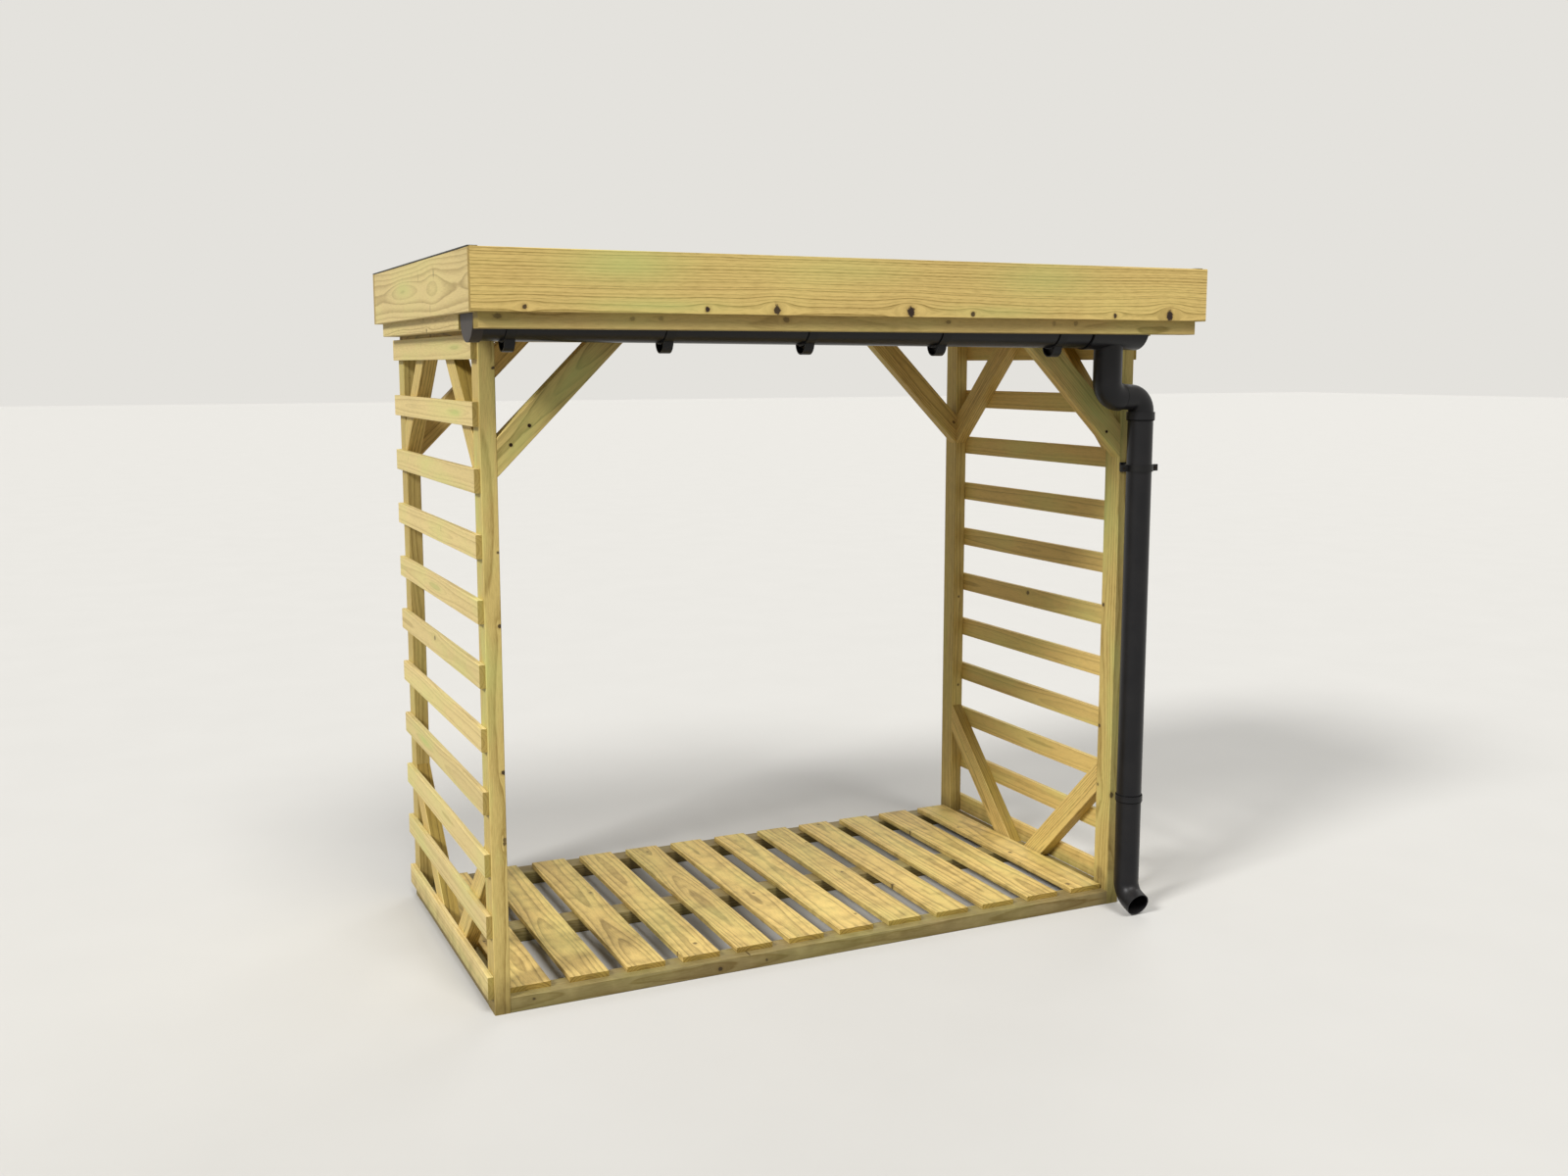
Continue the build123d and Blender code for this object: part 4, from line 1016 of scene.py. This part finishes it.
class LOGSTORE_OT_nails(bpy.types.Operator):
    """Add two nails where each slat and floor board crosses a post or rail."""

    bl_idname = "logstore.nails"
    bl_label = "Add the nails"

    def execute(self, context):
        look = context.scene.log_store_finish
        zinc = metal("zinc_plated_steel", ZINC, 0.42)
        head = domed_head(look.nail_radius, FLUSH)
        depths = (POST_LOW.y + NAIL_LINES[0] * POST_WIDE, BACK_POST_HIGH.y - NAIL_LINES[1] * POST_WIDE)
        for side, way in (("left", LEFT), ("right", RIGHT)):
            low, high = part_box(f"{side}_slats")
            face = low.x if side == "left" else high.x
            places = []
            for row in range(SLAT_COUNT):
                bottom = low.z + row * SLAT_PITCH
                for depth in depths:
                    for lift in (EDGE_IN, SLAT_HEIGHT - EDGE_IN):
                        places.append((Vector((face, depth, bottom + lift)) - way * FLUSH, way))
            shape = bmesh.new()
            repeat(shape, head, places)
            finish_piece(f"{side}_slat_nails", shape, zinc)
        places = []
        rails = (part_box("front_bottom_rail"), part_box("centre_bearer"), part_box("back_bottom_rail"))
        for board in range(FLOOR_COUNT):
            left = FLOOR_LOW.x + board * FLOOR_PITCH
            for low, high in rails:
                depth = (low.y + high.y) / 2 + OFF_RAIL_MIDDLE
                for in_from_edge in (FLOOR_EDGE_IN, FLOOR_WIDE - FLOOR_EDGE_IN):
                    places.append((Vector((left + in_from_edge, depth, FLOOR_HIGH.z - FLUSH)), Z_AXIS))
        shape = bmesh.new()
        repeat(shape, head, places)
        finish_piece("floor_nails", shape, zinc)
        bpy.data.meshes.remove(head)
        return {"FINISHED"}


class LOGSTORE_OT_brace_screws(bpy.types.Operator):
    """Add the countersunk screws at the ends of the front and back knee braces."""

    bl_idname = "logstore.brace_screws"
    bl_label = "Add the brace screws"

    def execute(self, context):
        look = context.scene.log_store_finish
        brown = metal("brown_coated_steel", BROWN_COATING, 0.7)
        head = screw_head(look.screw_radius, SCREW_RECESS * look.screw_radius, SCREW_RISE)
        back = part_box("brace_back_left")[1].y
        places = [(Vector((x, POST_LOW.y - FRONT_SCREW_LIFT, z)), FRONT) for x, z in FRONT_SCREWS]
        places += [(Vector((x, back, z)), Y_AXIS) for x, z in BACK_SCREWS]
        shape = bmesh.new()
        repeat(shape, head, places)
        finish_piece("brace_screws", shape, brown)
        bpy.data.meshes.remove(head)
        return {"FINISHED"}


class LOGSTORE_OT_seals(bpy.types.Operator):
    """Add the rubber seals that show at the pipe sockets and at the outlet."""

    bl_idname = "logstore.seals"
    bl_label = "Add the seals"

    def execute(self, context):
        black = rubber("moulded_seal_rubber", SEAL_RUBBER)
        pipe = middle("downpipe")
        bend_low, bend_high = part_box("upper_bend")
        outlet = Vector((bend_low.x + SOCKET_RADIUS, middle("gutter").y, 0))
        way = Vector((pipe.x - outlet.x, pipe.y - outlet.y, 0)).normalized()
        knee = Vector((outlet.x, outlet.y, bend_high.z - BEND_DROP))
        run = (way - Z_AXIS * math.tan(BEND_FALL)).normalized()
        reach = (BEND_SETBACK + RING_REACH) / math.cos(BEND_FALL)
        ring_end = knee + run * reach
        shape = bmesh.new()
        seal_ring(shape, ring_end, run, PIPE_RADIUS, BEND_SEAL_RADIUS, SEAL_WIDE)
        bottom = Vector((pipe.x, pipe.y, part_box("lower_bend")[0].z))
        seal_ring(shape, bottom, -Z_AXIS, PIPE_RADIUS, BEND_SEAL_RADIUS, SEAL_WIDE)
        ring_low, ring_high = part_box("pipe_coupling")
        for height, facing in ((ring_low.z, -Z_AXIS), (ring_high.z, Z_AXIS)):
            end = Vector((pipe.x, pipe.y, height))
            seal_ring(shape, end, facing, PIPE_RADIUS, COUPLING_SEAL_RADIUS, SEAL_WIDE)
        finish_piece("pipe_seals", shape, black)

        # The outlet's seal shows as a black line round the gutter
        gutter_low, gutter_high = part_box("gutter")
        left_end = Vector((gutter_low.x, middle("gutter").y, gutter_high.z - GUTTER_STRAIGHT))
        down_hill = Vector((1, 0, -GUTTER_FALL)).normalized()
        centre = left_end + down_hill * (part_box("gutter_outlet")[0].x - left_end.x)
        tilt = X_AXIS.rotation_difference(down_hill).to_matrix().to_4x4()
        shape = bmesh.new()
        profile = (
            (0, -OUTLET_SEAL_INNER),
            (-SEAL_WIDE, -OUTLET_SEAL_INNER),
            (-SEAL_WIDE, -OUTLET_SEAL_OUTER),
            (0, -OUTLET_SEAL_OUTER),
        )
        strip = shape.faces.new([shape.verts.new((x, y, 0)) for x, y in profile])
        turned = bmesh.ops.spin(shape, geom=[strip], axis=X_AXIS, cent=(0, 0, 0), angle=math.pi, steps=24)
        for end in (strip, *[face for face in turned["geom_last"] if isinstance(face, bmesh.types.BMFace)]):
            raised = bmesh.ops.extrude_face_region(shape, geom=[end])["geom"]
            up = [v for v in raised if isinstance(v, bmesh.types.BMVert)]
            bmesh.ops.translate(shape, vec=(0, 0, OUTLET_SEAL_TOP), verts=up)
            bmesh.ops.delete(shape, geom=[end], context="FACES_ONLY")
        bmesh.ops.transform(shape, matrix=Matrix.Translation(centre) @ tilt, verts=shape.verts)
        finish_piece("outlet_seal", shape, black)
        return {"FINISHED"}


class LOGSTORE_OT_clip_screws(bpy.types.Operator):
    """Add the screws of the pipe clip, two in its ears and two in its base on the post."""

    bl_idname = "logstore.clip_screws"
    bl_label = "Add the clip screws"

    def execute(self, context):
        black = metal("black_coated_steel", BLACK_COATING, 0.55)
        head = screw_head(CLIP_SCREW_RADIUS, CLIP_SCREW_RECESS, CLIP_SCREW_RISE)
        places = []
        height = middle("pipe_clip").z
        pipe = middle("downpipe")
        for way in (-1, 1):
            ear = Vector((pipe.x + way * CLIP_EAR_SCREW, pipe.y - CLIP_EAR_FACE, height))
            base = Vector((pipe.x + way * CLIP_BASE_SCREW, POST_LOW.y - CLIP_BASE_THICK, height))
            places += [(ear, FRONT), (base, FRONT)]
        shape = bmesh.new()
        repeat(shape, head, places)
        finish_piece("clip_screws", shape, black)
        bpy.data.meshes.remove(head)
        return {"FINISHED"}


# The photo's view of the store
CAMERA_PLACE = (-1.7170, -3.6845, 1.5249)
CAMERA_TURN = (math.radians(82.40), math.radians(0.06), math.radians(-24.70))
CAMERA_LENS = 34.395
CAMERA_SENSOR = 36.0
CAMERA_SHIFT = (0.00788, -0.0148)

# Where each lamp stands as seen from the store, and how wide it looks from there
KEY_WAY, KEY_WIDTH = (-0.75, -0.30, 0.59), math.radians(14)
FILL_WAY, FILL_WIDTH = (0.0, -0.56, 0.83), math.radians(28)
BACK_WAY, BACK_WIDTH = (0.55, 0.60, 0.58), math.radians(30)
STAGE_HALF = 60.0  # half the stage floor's width
STAGE_CLOUD = "#CAC8C3"  # second colour of the floor, in patches of 330 mm
BOUNCED_FLOOR = "#8A8885"  # the floor's colour for the light that comes back up from it
ROOM_WHITE = "#FFFFFF"
BACKDROP = "#E4E2DD"


def soft_light(name, towards, width, strength):
    """A far lamp in this direction. The wider it looks from the store, the softer its shadows' edges."""
    lamp = bpy.data.lights.new(name, "SUN")
    lamp.angle = width
    lamp.energy = strength
    light = bpy.data.objects.new(name, lamp)
    light.rotation_euler = Vector(towards).to_track_quat("Z", "Y").to_euler()
    bpy.context.scene.collection.objects.link(light)


def seen_by_eye(tree):
    """1 where the camera looks, straight, by a reflection or through glass, and 0 for light that bounces."""
    path = add(tree, "LightPath").outputs
    seen = {0: path["Is Camera Ray"], 1: path["Is Glossy Ray"]}
    seen = add(tree, "Math", seen, operation="MAXIMUM").outputs[0]
    return add(tree, "Math", {0: seen, 1: path["Is Transmission Ray"]}, operation="MAXIMUM").outputs[0]


class LOGSTORE_OT_stage(bpy.types.Operator):
    """Make the floor, the lights and the camera."""

    bl_idname = "logstore.stage"
    bl_label = "Set the stage"

    def execute(self, context):
        scene = context.scene
        stage = scene.log_store_stage
        shape = bmesh.new()
        bmesh.ops.create_grid(shape, x_segments=1, y_segments=1, size=STAGE_HALF)
        mesh = bpy.data.meshes.new("stage_floor")
        shape.to_mesh(mesh)
        shape.free()
        floor = bpy.data.objects.new("stage_floor", mesh)
        scene.collection.objects.link(floor)
        material, tree, shader = new_material("matt_floor_paint", 0.9)
        here = add(tree, "TexCoord").outputs["Object"]
        clouds = add(tree, "TexNoise", {"Vector": here, "Scale": 3.0, "Detail": 3.0}).outputs[0]
        tint = {0: clouds, 6: stage.floor_colour[:], 7: linear(STAGE_CLOUD)}
        tint = add(tree, "Mix", tint, **MIX).outputs[2]
        # Less light comes back up from the floor than it shows, and the roof's shade is as deep as outdoors
        tint = add(tree, "Mix", {0: seen_by_eye(tree), 6: linear(BOUNCED_FLOOR), 7: tint}, **MIX).outputs[2]
        tree.links.new(tint, shader.inputs["Base Color"])
        mesh.materials.append(material)

        soft_light("key_light", KEY_WAY, KEY_WIDTH, stage.key_light)
        soft_light("fill_light", FILL_WAY, FILL_WIDTH, stage.fill_light)
        soft_light("back_light", BACK_WAY, BACK_WIDTH, stage.back_light)

        world = bpy.data.worlds.new("room")
        world.use_nodes = True
        tree = world.node_tree
        tree.nodes.clear()
        light = {"Color": linear(ROOM_WHITE), "Strength": stage.room_light}
        light = add(tree, "Background", light).outputs[0]
        backdrop = add(tree, "Background", {"Color": linear(BACKDROP), "Strength": 1.0}).outputs[0]
        both = add(tree, "MixShader", {0: seen_by_eye(tree), 1: light, 2: backdrop}).outputs[0]
        add(tree, "OutputWorld", {"Surface": both})
        scene.world = world

        lens = bpy.data.cameras.new("camera")
        lens.sensor_width = CAMERA_SENSOR
        lens.lens = CAMERA_LENS
        lens.shift_x, lens.shift_y = CAMERA_SHIFT
        camera = bpy.data.objects.new("camera", lens)
        camera.location = CAMERA_PLACE
        camera.rotation_euler = CAMERA_TURN
        scene.collection.objects.link(camera)
        scene.camera = camera
        scene.view_settings.view_transform = "Standard"
        return {"FINISHED"}


STEPS = (
    LOGSTORE_OT_frame_timber,
    LOGSTORE_OT_slats_and_floor,
    LOGSTORE_OT_roof,
    LOGSTORE_OT_rainwater,
    LOGSTORE_OT_nails,
    LOGSTORE_OT_brace_screws,
    LOGSTORE_OT_clip_screws,
    LOGSTORE_OT_seals,
    LOGSTORE_OT_stage,
)


class LOGSTORE_PT_panel(bpy.types.Panel):
    """The log store's settings and steps."""

    bl_idname = "LOGSTORE_PT_panel"
    bl_label = "Log store"
    bl_space_type = "VIEW_3D"
    bl_region_type = "UI"
    bl_category = "Log store"

    def draw(self, context):
        for group in (context.scene.log_store_finish, context.scene.log_store_stage):
            for name in group.bl_rna.properties.keys():
                if name not in ("rna_type", "name"):
                    self.layout.prop(group, name)
        for step in STEPS:
            self.layout.operator(step.bl_idname)


CLASSES = (LogStoreFinish, LogStoreStage, *STEPS, LOGSTORE_PT_panel)


def register():
    for kind in CLASSES:
        bpy.utils.register_class(kind)
    bpy.types.Scene.log_store_finish = PointerProperty(type=LogStoreFinish)
    bpy.types.Scene.log_store_stage = PointerProperty(type=LogStoreStage)


def unregister():
    del bpy.types.Scene.log_store_stage
    del bpy.types.Scene.log_store_finish
    for kind in reversed(CLASSES):
        bpy.utils.unregister_class(kind)


def main():
    """Finish the whole store."""
    register()
    bpy.ops.logstore.frame_timber()
    bpy.ops.logstore.slats_and_floor()
    bpy.ops.logstore.roof()
    bpy.ops.logstore.rainwater()
    bpy.ops.logstore.nails()
    bpy.ops.logstore.brace_screws()
    bpy.ops.logstore.clip_screws()
    bpy.ops.logstore.seals()
    bpy.ops.logstore.stage()


if __name__ == "__main__":
    main()
